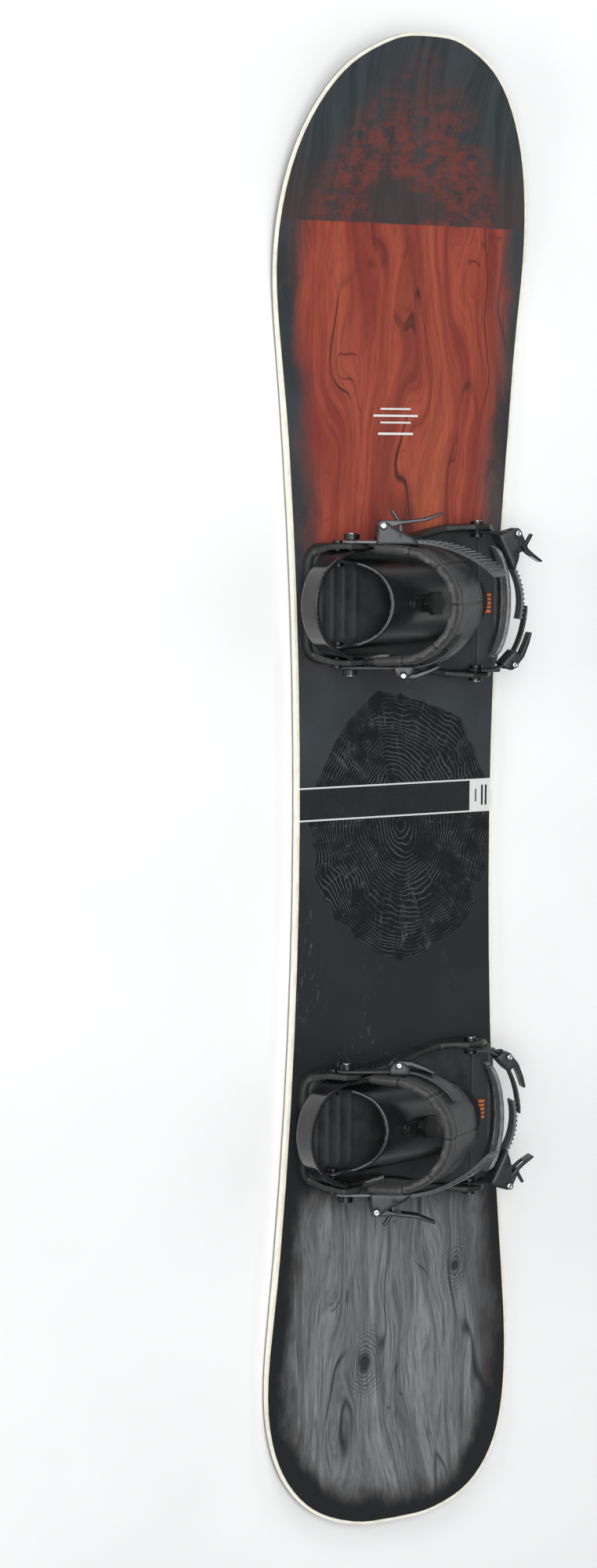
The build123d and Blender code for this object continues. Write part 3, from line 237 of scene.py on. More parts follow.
# Charcoal ground, lighter towards the bindings, with a fine grain.
ground = tint(print_art, between(print_art, noise(print_art, position(print_art), 9, 4), 0.3, 0.7),
              (0.022, 0.027, 0.030), (0.040, 0.047, 0.052))
rub = maths(print_art, "MULTIPLY",
            between(print_art, noise(print_art, position(print_art, (1.9, 1.1, 1)), 44, 9, 0.8),
                    0.40, 0.60),
            between(print_art, noise(print_art, position(print_art, (2.2, 0.8, 1)), 8, 3), 0.36,
                    0.50))
nose_rub = maths(print_art, "MULTIPLY", rub, between(print_art, from_edge, 0.02, 0.06))
nose_ink = tint(print_art, between(print_art, streaks, 0.35, 0.65), (0.022, 0.028, 0.031),
                (0.036, 0.044, 0.048))
nose_rub = maths(print_art, "MULTIPLY", nose_rub, between(print_art, along, 0.655, 0.735, 1, 0.25))
nose_ink = tint(print_art, between(print_art, along, 0.585, 0.69, 0.5, 0), nose_ink,
                (0.055, 0.028, 0.026))
nose_ink = tint(print_art, maths(print_art, "MULTIPLY", nose_rub, 0.85), nose_ink,
                (0.150, 0.033, 0.025))

# The tree slice: ragged bark round fine growth rings, split by cracks from its heart.
slice_place = put(print_art, "ShaderNodeMapping", {
    "Vector": position(print_art), "Location": (0.030, 0.006, 0), "Scale": (0.82, 1, 0)})
slice_noise = maths(print_art, "MULTIPLY", maths(
    print_art, "SUBTRACT", noise(print_art, position(print_art), 11, 3), 0.5), 0.055)
radius = maths(print_art, "ADD", put(
    print_art, "ShaderNodeVectorMath", {0: slice_place.outputs[0]},
    operation="LENGTH").outputs[1], slice_noise)
angle_parts = put(print_art, "ShaderNodeSeparateXYZ", {"Vector": slice_place.outputs[0]})
angle = maths(print_art, "ARCTAN2", angle_parts.outputs[1], angle_parts.outputs[0])
rings = between(print_art, maths(print_art, "SINE", maths(print_art, "MULTIPLY", maths(
    print_art, "POWER", radius, 1.15), 2100)), 0.45, 0.98)
ray = put(print_art, "ShaderNodeCombineXYZ", {
    "X": maths(print_art, "MULTIPLY", angle, 3.0),
    "Y": maths(print_art, "MULTIPLY", radius, 5.0)}).outputs[0]
splits = between(print_art, maths(print_art, "ABSOLUTE", maths(
    print_art, "SUBTRACT", noise(print_art, ray, 2.4, 2, 0.5), 0.5)), 0.0, 0.011, 1, 0)
splits = maths(print_art, "MULTIPLY", splits, between(print_art, radius, 0.01, 0.05))
wear = between(print_art, noise(print_art, position(print_art), 46, 5, 0.6), 0.36, 0.62)
ring_ink = maths(print_art, "MULTIPLY", maths(print_art, "MAXIMUM", rings, splits), wear)
slice_colour = tint(print_art, maths(print_art, "MULTIPLY", ring_ink, 0.7),
                    (0.0035, 0.0038, 0.0045), (0.080, 0.085, 0.088))
speckle = maths(print_art, "MULTIPLY",
                between(print_art, noise(print_art, position(print_art, (0.35, 1, 1)), 190, 4,
                                         0.7), 0.56, 0.70),
                between(print_art, noise(print_art, position(print_art, (0.3, 1, 1)), 22, 2),
                        0.50, 0.66))
slice_edge = maths(print_art, "ADD", radius, maths(print_art, "MULTIPLY", ragged, 0.35))
in_slice = between(print_art, slice_edge, 0.114, 0.1165, 1, 0)
ground = tint(print_art,
              between(print_art, maths(print_art, "ADD", along, ragged), -0.13, 0.10, 0.72, 0),
              ground, (0.008, 0.009, 0.011))
middle = tint(print_art, in_slice, ground, slice_colour)
dust = maths(print_art, "MULTIPLY", speckle, between(print_art, along, -0.33, -0.05, 1, 0.35))
middle = tint(print_art, maths(print_art, "MULTIPLY", dust, 0.5), middle, (0.17, 0.175, 0.175))

# Panels are laid over the ground, each behind its own soft border.
red_ends = maths(print_art, "MULTIPLY",
                 between(print_art, maths(print_art, "ADD", along, maths(
                     print_art, "MULTIPLY", ragged, 0.05)), 0.5835, 0.5845, 1, 0),
                 between(print_art, maths(print_art, "ADD", along, ragged), 0.115, 0.215))
red_sides = between(print_art, maths(print_art, "ADD", from_edge, ragged), 0.009, 0.046)
art = tint(print_art, between(print_art, along, 0.5835, 0.5845), middle, nose_ink)
art = tint(print_art, maths(print_art, "MULTIPLY", red_ends, red_sides), art, red)
# Dark patches on the red board, stronger towards the front binding and fading towards the nose.
dark_patches = maths(print_art, "MULTIPLY", red_ends, between(
    print_art, noise(print_art, position(print_art, (0.5, 1.6, 1)), 11, 5, 0.6), 0.56, 0.72))
dark_patches = maths(print_art, "MULTIPLY", dark_patches, between(print_art, along, 0.18, 0.45, 0.75, 0.15))
art = tint(print_art, dark_patches, art, (0.020, 0.014, 0.015))
grey_ends = maths(print_art, "MULTIPLY",
                  between(print_art, maths(print_art, "ADD", along, ragged), -0.452, -0.405, 1, 0),
                  between(print_art, maths(print_art, "ADD", from_tail, ragged), 0.014, 0.055))
grey_sides = between(print_art, maths(print_art, "ADD", from_edge, ragged), 0.010, 0.044)
grey_mask = maths(print_art, "MULTIPLY", grey_ends, grey_sides)
art = tint(print_art, between(print_art, along, -0.43, -0.37, 1, 0), art, (0.010, 0.011, 0.012))
art = tint(print_art, between(print_art, grey_mask, 0.0, 0.35, 0, 0.6), art, (0.030, 0.018, 0.016))
art = tint(print_art, grey_mask, art, grey)

# The size panel: two fine white rules and a white block at the toe side, with plain bars in it.
pale = (0.62, 0.64, 0.62)
upper_rule = between(print_art, maths(print_art, "ABSOLUTE", maths(
    print_art, "SUBTRACT", along, 0.0069)), 0.0006, 0.0010, 1, 0)
lower_rule = between(print_art, maths(print_art, "ABSOLUTE", maths(
    print_art, "ADD", along, 0.0264)), 0.0006, 0.0010, 1, 0)
panel = maths(print_art, "MULTIPLY",
              between(print_art, along, -0.0268, -0.0262),
              between(print_art, along, 0.0067, 0.0073, 1, 0))
art = tint(print_art, maths(print_art, "MULTIPLY", panel, 0.85), art, (0.012, 0.014, 0.015))
block = maths(print_art, "MULTIPLY", panel, between(print_art, across, -0.0955, -0.0949, 1, 0))
bars = 0.0
for bar_x, bar_y, bar_long, bar_wide in ((-0.0097, -0.1115, 0.0105, 0.0011),
                                         (-0.0097, -0.1165, 0.0105, 0.0011),
                                         (-0.0097, -0.1032, 0.0065, 0.0007)):
    bar = maths(print_art, "MULTIPLY",
                between(print_art, maths(print_art, "ABSOLUTE",
                                         maths(print_art, "SUBTRACT", along, bar_x)),
                        bar_long, bar_long + 0.0004, 1, 0),
                between(print_art, maths(print_art, "ABSOLUTE",
                                         maths(print_art, "SUBTRACT", across, bar_y)),
                        bar_wide, bar_wide + 0.0004, 1, 0))
    bars = maths(print_art, "MAXIMUM", bar, bars)
art = tint(print_art, maths(print_art, "MAXIMUM", maths(
    print_art, "MAXIMUM", upper_rule, lower_rule), block), art, pale)
art = tint(print_art, maths(print_art, "MULTIPLY", bars, block), art, (0.016, 0.018, 0.019))

# A small plain mark on the red board: a rule with three short bars under it.
mark = 0.0
for bar_x, bar_y, bar_long, bar_wide in ((0.3885, 0.006, 0.0009, 0.028),
                                         (0.3955, 0.006, 0.0007, 0.019),
                                         (0.3815, 0.006, 0.0007, 0.019),
                                         (0.3700, 0.006, 0.0010, 0.022)):
    bar = maths(print_art, "MULTIPLY",
                between(print_art, maths(print_art, "ABSOLUTE",
                                         maths(print_art, "SUBTRACT", along, bar_x)),
                        bar_long, bar_long + 0.0004, 1, 0),
                between(print_art, maths(print_art, "ABSOLUTE",
                                         maths(print_art, "SUBTRACT", across, bar_y)),
                        bar_wide, bar_wide + 0.0004, 1, 0))
    mark = maths(print_art, "MAXIMUM", bar, mark)
art = tint(print_art, mark, art, pale)
connect(print_art, art, print_shader, "Base Color")
sheen = between(print_art, noise(print_art, position(print_art), 240, 3), 0.3, 0.7, 0.44, 0.54)
connect(print_art, sheen, print_shader, "Roughness")
print_shader.inputs["Specular IOR Level"].default_value = 0.24
bumped(print_art, print_shader, noise(print_art, position(print_art, (0.3, 1, 1)), 900, 2), 0.12,
       0.0002)


def finish_node(name, material):
    """Gives a CAD node its finish and rounds its shading."""
    piece = nodes[name]
    piece.data.materials.clear()
    piece.data.materials.append(material)
    bpy.context.view_layer.objects.active = piece
    piece.select_set(True)
    bpy.ops.object.shade_smooth_by_angle(angle=radians(28))
    piece.select_set(False)


finish_node("topsheet", print_art)

# ---------------------------------------------------------------- edge, sidewalls, base and core
# A steel edge and cream plastic sidewalls run round the board. The base is black sintered plastic,
# and the core is wood, with steel inserts for the binding screws. All are pressed together.
sidewall_finish, sidewall_shader = new_material("cream_sidewall", (0.80, 0.77, 0.65), 0.38)
scuffs = noise(sidewall_finish, position(sidewall_finish, (0.2, 0.2, 1)), 420, 3)
connect(sidewall_finish, tint(sidewall_finish, between(sidewall_finish, scuffs, 0.4, 0.75),
        (0.84, 0.81, 0.69), (0.70, 0.67, 0.56)), sidewall_shader, "Base Color")
bumped(sidewall_finish, sidewall_shader, scuffs, 0.15, 0.0002)
edge_steel, edge_shader = new_material("edge_steel", (0.30, 0.30, 0.31), 0.32)
edge_shader.inputs["Metallic"].default_value = 1.0
filed = noise(edge_steel, position(edge_steel, (0.02, 0.02, 1)), 2500, 2)
connect(edge_steel, between(edge_steel, filed, 0.3, 0.7, 0.25, 0.42), edge_shader, "Roughness")
base_black, base_shader = new_material("sintered_base", (0.012, 0.012, 0.013), 0.28)
structure = noise(base_black, position(base_black, (0.03, 1, 1)), 1600, 2)
connect(base_black, between(base_black, structure, 0.3, 0.7, 0.22, 0.36), base_shader, "Roughness")
bumped(base_black, base_shader, structure, 0.1, 0.0001)
core_wood, core_shader = new_material("core_wood", (0.45, 0.31, 0.17), 0.6)
fibres = noise(core_wood, position(core_wood, (0.05, 1, 1)), 180, 4, 0.6)
connect(core_wood, tint(core_wood, between(core_wood, fibres, 0.3, 0.7), (0.34, 0.22, 0.11),
        (0.56, 0.41, 0.24)), core_shader, "Base Color")
plain_steel, steel_shader = new_material("screw_steel", (0.42, 0.42, 0.43), 0.3)
steel_shader.inputs["Metallic"].default_value = 1.0
connect(plain_steel, between(plain_steel, noise(plain_steel, position(plain_steel), 900, 2),
        0.3, 0.7, 0.2, 0.38), steel_shader, "Roughness")
finish_node("sidewalls", sidewall_finish)
finish_node("steel_edge", edge_steel)
finish_node("base_sheet", base_black)
finish_node("wood_core", core_wood)
finish_node("threaded_inserts", plain_steel)
finish_node("disc_screws", plain_steel)

# ---------------------------------------------------------------- baseplates and discs
# Each base is one moulding of glass-filled nylon, greenish black, with a spark-eroded texture.
# A toothed disc clamps it to the board with four screws.


def rounded_edges(material, radius):
    """Softens the corners of a moulding in its shading."""
    return put(material, "ShaderNodeBevel", {"Radius": radius}, samples=6).outputs[0]


def moulding(name, dark, light, roughness, grain=1400.0, relief=0.25, edge=0.0007):
    """Moulded plastic: fine grain, faint blotches, and convex edges painted lighter as a
    highlight.
    """
    material, shader = new_material(name, dark, roughness)
    mottle = noise(material, position(material), 34, 4, 0.6)
    skin = tint(material, between(material, mottle, 0.35, 0.7), dark, light)
    shader.inputs["Specular IOR Level"].default_value = 0.36
    # Convex edges are painted lighter here: a painted highlight along the moulding's edges.
    highlit_edge = put(material, "ShaderNodeNewGeometry").outputs["Pointiness"]
    skin = tint(material, between(material, highlit_edge, 0.53, 0.62, 0, 0.5), skin,
                tuple(min(1, 2.6 * channel + 0.012) for channel in light))
    connect(material, skin, shader, "Base Color")
    connect(material, between(material, mottle, 0.3, 0.7, roughness - 0.05, roughness + 0.06),
            shader, "Roughness")
    bumped(material, shader, noise(material, position(material), grain, 2), relief, 0.00025,
           rounded_edges(material, edge))
    return material, shader


FEET = {"front": (0.197, 1), "rear": (-0.346, -1)}


def soft_copy(node, name, voxel, smooth_steps):
    """A soft piece's own mesh over its CAD solid: even faces, with rounded edges."""
    bpy.ops.object.select_all(action="DESELECT")
    bpy.context.view_layer.objects.active = nodes[node]
    nodes[node].select_set(True)
    bpy.ops.object.duplicate()
    piece = bpy.context.object
    piece.name = name
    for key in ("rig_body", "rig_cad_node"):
        if key in piece:
            del piece[key]
    piece.parent = None
    piece.matrix_world = Matrix.Identity(4)
    piece.data.materials.clear()
    bpy.ops.object.mode_set(mode="EDIT")
    bpy.ops.mesh.select_all(action="SELECT")
    bpy.ops.mesh.remove_doubles(threshold=0.00002)
    bpy.ops.object.mode_set(mode="OBJECT")
    grid = piece.modifiers.new("grid", "REMESH")
    grid.mode = "VOXEL"
    grid.voxel_size = voxel
    bpy.ops.object.modifier_apply(modifier=grid.name)
    soften(piece, smooth_steps)
    return piece


def soften(piece, steps):
    """Rounds a piece's edges by smoothing its mesh."""
    bpy.context.view_layer.objects.active = piece
    rounding = piece.modifiers.new("rounding", "SMOOTH")
    rounding.factor = 0.5
    rounding.iterations = steps
    bpy.ops.object.modifier_apply(modifier=rounding.name)


def refine(foot, part, voxel, steps, material, body):
    """A moulding's finished skin over its CAD solid, its corners rounded as in the mould."""
    piece = soft_copy(f"{foot}_{part}", f"{foot}_{part}_skin", voxel, steps)
    piece.data.materials.append(material)
    bpy.ops.object.shade_smooth()
    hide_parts(f"{foot}_{part}")
    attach(piece, body)


base_nylon, _ = moulding("base_nylon", (0.013, 0.016, 0.015), (0.024, 0.029, 0.027), 0.46)
disc_nylon, _ = moulding("disc_nylon", (0.012, 0.012, 0.013), (0.022, 0.022, 0.024), 0.5)
for foot in FEET:
    refine(foot, "baseplate", 0.0016, 2, base_nylon, "root")
    finish_node(foot + "_mounting_disc", disc_nylon)

# ---------------------------------------------------------------- heel hoops
# A bent aluminium band behind each heel, in deep gloss black lacquer, bolted to the base's walls.
hoop_gloss, hoop_shader = new_material("hoop_gloss", (0.006, 0.006, 0.007), 0.16)
hoop_shader.inputs["Coat Weight"].default_value = 0.7
hoop_shader.inputs["Coat Roughness"].default_value = 0.04
hoop_shader.inputs["Specular IOR Level"].default_value = 0.15
ripple = noise(hoop_gloss, position(hoop_gloss), 60, 2)
connect(hoop_gloss, tint(hoop_gloss, between(hoop_gloss, ripple, 0.4, 0.7), (0.005, 0.005, 0.006),
        (0.012, 0.012, 0.014)), hoop_shader, "Base Color")
bumped(hoop_gloss, hoop_shader, ripple, 0.05, 0.001, rounded_edges(hoop_gloss, 0.0012))
black_screw, screw_shader = new_material("black_screw", (0.03, 0.03, 0.032), 0.32)
screw_shader.inputs["Metallic"].default_value = 0.9
turned = noise(black_screw, position(black_screw), 1400, 2)
connect(black_screw, between(black_screw, turned, 0.3, 0.7, 0.24, 0.4), screw_shader, "Roughness")
bumped(black_screw, screw_shader, turned, 0.1, 0.0001, rounded_edges(black_screw, 0.0006))
silver_screw, silver_shader = new_material("silver_screw", (0.36, 0.36, 0.37), 0.3)
silver_shader.inputs["Metallic"].default_value = 1.0
polish = noise(silver_screw, position(silver_screw), 1600, 2)
connect(silver_screw, between(silver_screw, polish, 0.3, 0.7, 0.18, 0.34), silver_shader,
        "Roughness")
bumped(silver_screw, silver_shader, polish, 0.08, 0.0001, rounded_edges(silver_screw, 0.0008))
for foot in FEET:
    refine(foot, "heel_hoop", 0.0011, 3, hoop_gloss, "root")
finish_node("hoop_screws", black_screw)
finish_node("highback_pivots", black_screw)
finish_node("ankle_anchors", black_screw)
finish_node("toe_anchors", black_screw)

# ---------------------------------------------------------------- highbacks
# A moulded nylon shell behind each calf, satin black outside. It folds flat under the straps,
# with the hexagonal lean adjuster and its lock on the outside.
shell_satin, shell_shader = moulding("shell_satin", (0.010, 0.011, 0.012), (0.017, 0.018, 0.020),
                                     0.33, 2200.0, 0.08, 0.0012)
shell_shader.inputs["Coat Weight"].default_value = 0.25
shell_shader.inputs["Coat Roughness"].default_value = 0.28
trim_black, _ = moulding("trim_black", (0.006, 0.007, 0.007), (0.012, 0.013, 0.013), 0.38, 1800.0,
                         0.1)
for foot in FEET:
    refine(foot, "highback", 0.0011, 3, shell_satin, foot + "_highback_body")
    refine(foot, "lean_adjuster", 0.0008, 2, trim_black,
           foot + "_lean_adjuster_body")

# ---------------------------------------------------------------- straps' ladders and connectors
# Toothed ladders and flat connector straps, moulded in tough grey-black polyurethane.
ladder_grey, ladder_shader = moulding("ladder_grey", (0.030, 0.032, 0.034), (0.052, 0.055, 0.058),
                                      0.36, 1500.0, 0.12, 0.0005)
strap_black, _ = moulding("strap_black", (0.020, 0.021, 0.022), (0.034, 0.036, 0.037), 0.42)
for foot in FEET:
    finish_node(foot + "_ankle_ladder", ladder_grey)
    finish_node(foot + "_toe_ladder", ladder_grey)
    refine(foot, "ankle_connector", 0.0009, 2, strap_black, foot + "_ankle_strap")
    refine(foot, "toe_connector", 0.0008, 1, strap_black, foot + "_toe_strap")

# ---------------------------------------------------------------- ratchets, adjusters and levers
# Cast ratchet bodies in satin dark grey, with polished gunmetal levers that turn on bright rivets.
buckle_satin, buckle_shader = moulding("buckle_satin", (0.015, 0.016, 0.018),
                                       (0.028, 0.030, 0.033), 0.34,
                                       2000.0, 0.08, 0.0016)
lever_polish, lever_shader = moulding("lever_polish", (0.022, 0.023, 0.025),
                                      (0.045, 0.046, 0.050), 0.24,
                                      1200.0, 0.04, 0.0012)
lever_shader.inputs["Metallic"].default_value = 0.55
for foot in FEET:
    for part, strap in (("ankle_buckle", "ankle_strap"), ("ankle_adjuster", "ankle_strap"),
                        ("toe_buckle", "toe_strap"), ("toe_adjuster", "toe_strap")):
        refine(foot, part, 0.0010, 45, buckle_satin, f"{foot}_{strap}")
    for part, body in (("ankle_buckle_lever", "ankle_lever"),
                       ("ankle_release_lever", "ankle_release"),
                       ("ankle_adjuster_lever", "ankle_adjust_lever"),
                       ("toe_buckle_lever", "toe_lever"),
                       ("toe_release_lever", "toe_release"),
                       ("toe_adjuster_lever", "toe_adjust_lever")):
        refine(foot, part, 0.0006, 3, lever_polish, f"{foot}_{body}")


def make_rivet(name, centre, axis, radius, body):
    """A domed bright rivet head: a disc with its rim bevelled and its face drawn up."""
    bpy.ops.object.select_all(action="DESELECT")
    bpy.ops.mesh.primitive_cylinder_add(vertices=28, radius=radius, depth=0.0011)
    head = bpy.context.object
    head.name = name
    bpy.ops.object.mode_set(mode="EDIT")
    bpy.ops.mesh.select_all(action="DESELECT")
    shape = bmesh.from_edit_mesh(head.data)
    for face in shape.faces:
        face.select = face.normal.z > 0.9
    bpy.ops.mesh.inset(thickness=radius * 0.25, depth=radius * 0.12)
    bpy.ops.mesh.inset(thickness=radius * 0.3, depth=radius * 0.06)
    bpy.ops.mesh.inset(thickness=radius * 0.15, depth=-radius * 0.08)
    bpy.ops.object.mode_set(mode="OBJECT")
    turn = Vector(axis).to_track_quat("Z", "Y").to_matrix().to_4x4()
    head.matrix_world = Matrix.Translation(centre) @ turn
    bpy.ops.object.transform_apply(location=True, rotation=True, scale=True)
    bpy.ops.object.shade_smooth_by_angle(angle=radians(40))
    head.data.materials.append(silver_screw)
    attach(head, body)
    return head


# The levers' pins end in these heads, just proud of the pins on both sides.
lever_joints = {joint["name"]: joint for joint in frame["joints"]}
for foot in FEET:
    for joint_name, body, node, radius in (
            ("ankle_lever_open", "ankle_lever", "ankle_buckle_lever", 0.0034),
            ("toe_lever_open", "toe_lever", "toe_buckle_lever", 0.0034),
            ("ankle_adjuster_open", "ankle_adjust_lever", "ankle_adjuster_lever", 0.0031),
            ("toe_adjuster_open", "toe_adjust_lever", "toe_adjuster_lever", 0.0031)):
        joint = lever_joints[foot + "_" + joint_name]
        pin, axis = Vector(joint["pos_m"]), Vector(joint["axis"]).normalized()
        corners = nodes[foot + "_" + node].data.vertices
        reach = max(abs((vertex.co - pin).dot(axis)) for vertex in corners)
        for end in (-1, 1):
            make_rivet(f"{foot}_{body}_rivet_{'a' if end > 0 else 'b'}",
                       pin + axis * end * (reach + 0.0005), axis * end, radius, foot + "_" + body)

# Bright caps on the strap anchors' screws, outside the eyes.
for foot, (centre_x, _) in FEET.items():
    for node, body in (("ankle_anchors", "root"), ("toe_anchors", "root")):
        points = [v.co for v in nodes[node].data.vertices if abs(v.co.x - centre_x) < 0.15]
        for end in (-1, 1):
            own = [p for p in points if (p.x - centre_x) * end > 0]
            outer = max(own, key=lambda p: (p.x - centre_x) * end).x
            middle_y = (min(p.y for p in own) + max(p.y for p in own)) / 2
            middle_z = (min(p.z for p in own) + max(p.z for p in own)) / 2
            make_rivet(f"{foot}_{node}_cap_{'a' if end > 0 else 'b'}",
                       (outer + end * 0.0004, middle_y, middle_z), (end, 0, 0), 0.0046, body)

# ---------------------------------------------------------------- ankle pads
# Padded strap over each instep: a foam core in grained synthetic leather, with a rolled lining
# along its heel edge, seams across it, and rows of thread beside them. It swells under the cover.
DECK_HEIGHT = 0.0095


def to_binding(points, foot):
    """Coordinates in the binding's own frame: buckles on +X, toes on -Y, deck at zero height."""
    middle_x, way = FEET[foot]
    local = points.copy()
    local[:, 0] = (points[:, 0] - middle_x) * way
    local[:, 2] = points[:, 2] - DECK_HEIGHT
    return local


def divide(piece, levels):
    """Splits every face for finer relief."""
    bpy.context.view_layer.objects.active = piece
    finer = piece.modifiers.new("finer", "SUBSURF")
    finer.levels = finer.render_levels = levels
    bpy.ops.object.modifier_apply(modifier=finer.name)


def points_of(piece, key="co"):
    """A piece's points or normals as an array."""
    flat = np.zeros(len(piece.data.vertices) * 3)
    source = piece.data.vertices if key == "co" else piece.data.vertex_normals
    source.foreach_get("co" if key == "co" else "vector", flat)
    return flat.reshape(-1, 3)


def set_points(piece, points):
    """Puts an array back as a piece's points."""
    piece.data.vertices.foreach_set("co", points.ravel())
    piece.data.update()


def swell(piece, shrink, limit):
    """Blows the cover up a little over its foam, as cloth under pressure, within a limit."""
    start = points_of(piece) - points_of(piece, "normal") * shrink
    set_points(piece, start)
    cover = piece.modifiers.new("cover", "CLOTH")
    cover.settings.quality = 5
    cover.settings.mass = 0.3
    cover.settings.tension_stiffness = 40
    cover.settings.compression_stiffness = 40
    cover.settings.bending_stiffness = 4
    cover.settings.use_pressure = True
    cover.settings.uniform_pressure_force = 4
    cover.settings.effector_weights.gravity = 0
    cover.point_cache.frame_start = 1
    cover.point_cache.frame_end = 20
    for step in range(1, 21):
        bpy.context.scene.frame_set(step)
    swollen = piece.evaluated_get(bpy.context.evaluated_depsgraph_get()).to_mesh()
    flat = np.zeros(len(swollen.vertices) * 3)
    swollen.vertices.foreach_get("co", flat)
    travel = flat.reshape(-1, 3) - start
    far = np.linalg.norm(travel, axis=1, keepdims=True)
    travel *= np.minimum(1.0, limit / np.maximum(far, 1e-9))
    piece.modifiers.remove(cover)
    set_points(piece, start + travel)
    bpy.context.scene.frame_set(1)


def dent(distance, depth, half):
    """Depth of a sewn channel at a distance from its line."""
    return -depth * np.exp(-((distance / half) ** 2))


def keep(piece, name, values):
    """Stores a pattern's coordinates on the piece."""
    layer = piece.data.attributes.new(name, "FLOAT_VECTOR", "POINT")
    layer.data.foreach_set("vector", values.astype(np.float32).ravel())


def run_of(material, name):
    """Reads stored pattern coordinates."""
    source = put(material, "ShaderNodeAttribute", attribute_name=name)
    return put(material, "ShaderNodeSeparateXYZ", {"Vector": source.outputs["Vector"]}).outputs


def thread(material, distance, offset, along_line, pitch):
    """A row of stitches at an offset from an edge: short dashes of thread."""
    row = between(material, maths(material, "ABSOLUTE", maths(
        material, "SUBTRACT", distance, offset)), 0.0002, 0.0005, 1, 0)
    dash = between(material, maths(material, "FRACT", maths(
        material, "DIVIDE", along_line, pitch)), 0.58, 0.66, 1, 0)
    return maths(material, "MULTIPLY", row, dash)


arch_down, arch_across = sin(radians(32)), cos(radians(32))
cross_seams = (0.020, 0.052, 0.096, 0.146, 0.182)
pad_leather, leather_shader = new_material("pad_leather", (0.026, 0.028, 0.029), 0.5)
heel_gap, toe_gap, pad_run = run_of(pad_leather, "pad_run")
grain = put(pad_leather, "ShaderNodeTexVoronoi", {
    "Vector": position(pad_leather), "Scale": 620}, feature="DISTANCE_TO_EDGE").outputs["Distance"]
creases = noise(pad_leather, position(pad_leather), 75, 5, 0.62, 0.6)
leather = tint(pad_leather, between(pad_leather, creases, 0.32, 0.7), (0.013, 0.014, 0.015),
               (0.029, 0.031, 0.032))
leather = tint(pad_leather, between(pad_leather, heel_gap, 0.013, 0.0136, 1, 0), leather,
               (0.030, 0.030, 0.029))
leather = tint(pad_leather, between(pad_leather, toe_gap, 0.009, 0.0095, 1, 0), leather,
               (0.012, 0.012, 0.013))
seam_shadow = between(pad_leather, maths(pad_leather, "ABSOLUTE", maths(
    pad_leather, "SUBTRACT", heel_gap, 0.0133)), 0.0003, 0.0011, 1, 0)
stitches = thread(pad_leather, heel_gap, 0.0160, pad_run, 0.0032)
stitches = maths(pad_leather, "MAXIMUM", stitches,
                 thread(pad_leather, toe_gap, 0.0065, pad_run, 0.0032))
for seam in cross_seams:
    gap = maths(pad_leather, "ABSOLUTE", maths(pad_leather, "SUBTRACT", pad_run, seam))
    seam_shadow = maths(pad_leather, "MAXIMUM", seam_shadow,
                        between(pad_leather, gap, 0.0003, 0.0011, 1, 0))
    stitches = maths(pad_leather, "MAXIMUM", stitches,
                     thread(pad_leather, gap, 0.0030, heel_gap, 0.0032))
leather = tint(pad_leather, seam_shadow, leather, (0.004, 0.004, 0.004))
leather = tint(pad_leather, maths(pad_leather, "MULTIPLY", stitches, 0.8), leather,
               (0.085, 0.088, 0.088))
connect(pad_leather, leather, leather_shader, "Base Color")
connect(pad_leather, between(pad_leather, creases, 0.3, 0.7, 0.40, 0.56), leather_shader,
        "Roughness")
leather_shader.inputs["Sheen Weight"].default_value = 0.05
leather_shader.inputs["Specular IOR Level"].default_value = 0.4
soft_relief = bumped(pad_leather, leather_shader, creases, 0.35, 0.0010)
soft_relief = bumped(pad_leather, leather_shader, grain, 0.30, 0.0004, soft_relief)
bumped(pad_leather, leather_shader, stitches, 0.7, 0.0004, soft_relief)

for foot in FEET:
    pad = soft_copy(foot + "_ankle_pad", foot + "_padded_ankle_strap", 0.004, 1)
    swell(pad, 0.0008, 0.0026)
    divide(pad, 2)
    local = to_binding(points_of(pad), foot) - np.array((0, 0.090, 0.042))
    rise = -arch_down * local[:, 1] + arch_across * local[:, 2]
    width = -arch_across * local[:, 1] - arch_down * local[:, 2]
    turn = np.arctan2(np.maximum(rise - 0.052, 0), local[:, 0])
    run = turn * 0.056 + np.where(local[:, 0] > 0, -1, 1) * np.maximum(0.052 - rise, 0) + 0.010
    heel_line = np.interp(rise, (0.02, 0.05, 0.084, 0.119), (-0.002, -0.0024, 0.0064, 0.0246))
    toe_line = np.interp(rise, (0.0235, 0.0447, 0.0723, 0.106, 0.13),
                         (0.0207, 0.0452, 0.0704, 0.094, 0.0935))
    from_heel, from_toe = width - heel_line, toe_line - width
    pressed = dent(from_heel - 0.0133, 0.0013, 0.0016) + dent(from_toe - 0.0092, 0.0008, 0.0014)
    for seam in cross_seams:
        pressed += dent(run - seam, 0.0010, 0.0015)
    pressed += 0.0009 * np.exp(-(((from_heel - 0.0062) / 0.0045) ** 2))
    pressed += 0.0006 * np.sin(run * 260) * np.exp(-(((from_heel - 0.03) / 0.014) ** 2))
    set_points(pad, points_of(pad) + points_of(pad, "normal") * pressed[:, None])
    keep(pad, "pad_run", np.column_stack((from_heel, from_toe, run)))
    pad.data.materials.append(pad_leather)
    bpy.ops.object.shade_smooth()
    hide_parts(foot + "_ankle_pad")
    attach(pad, foot + "_ankle_strap")
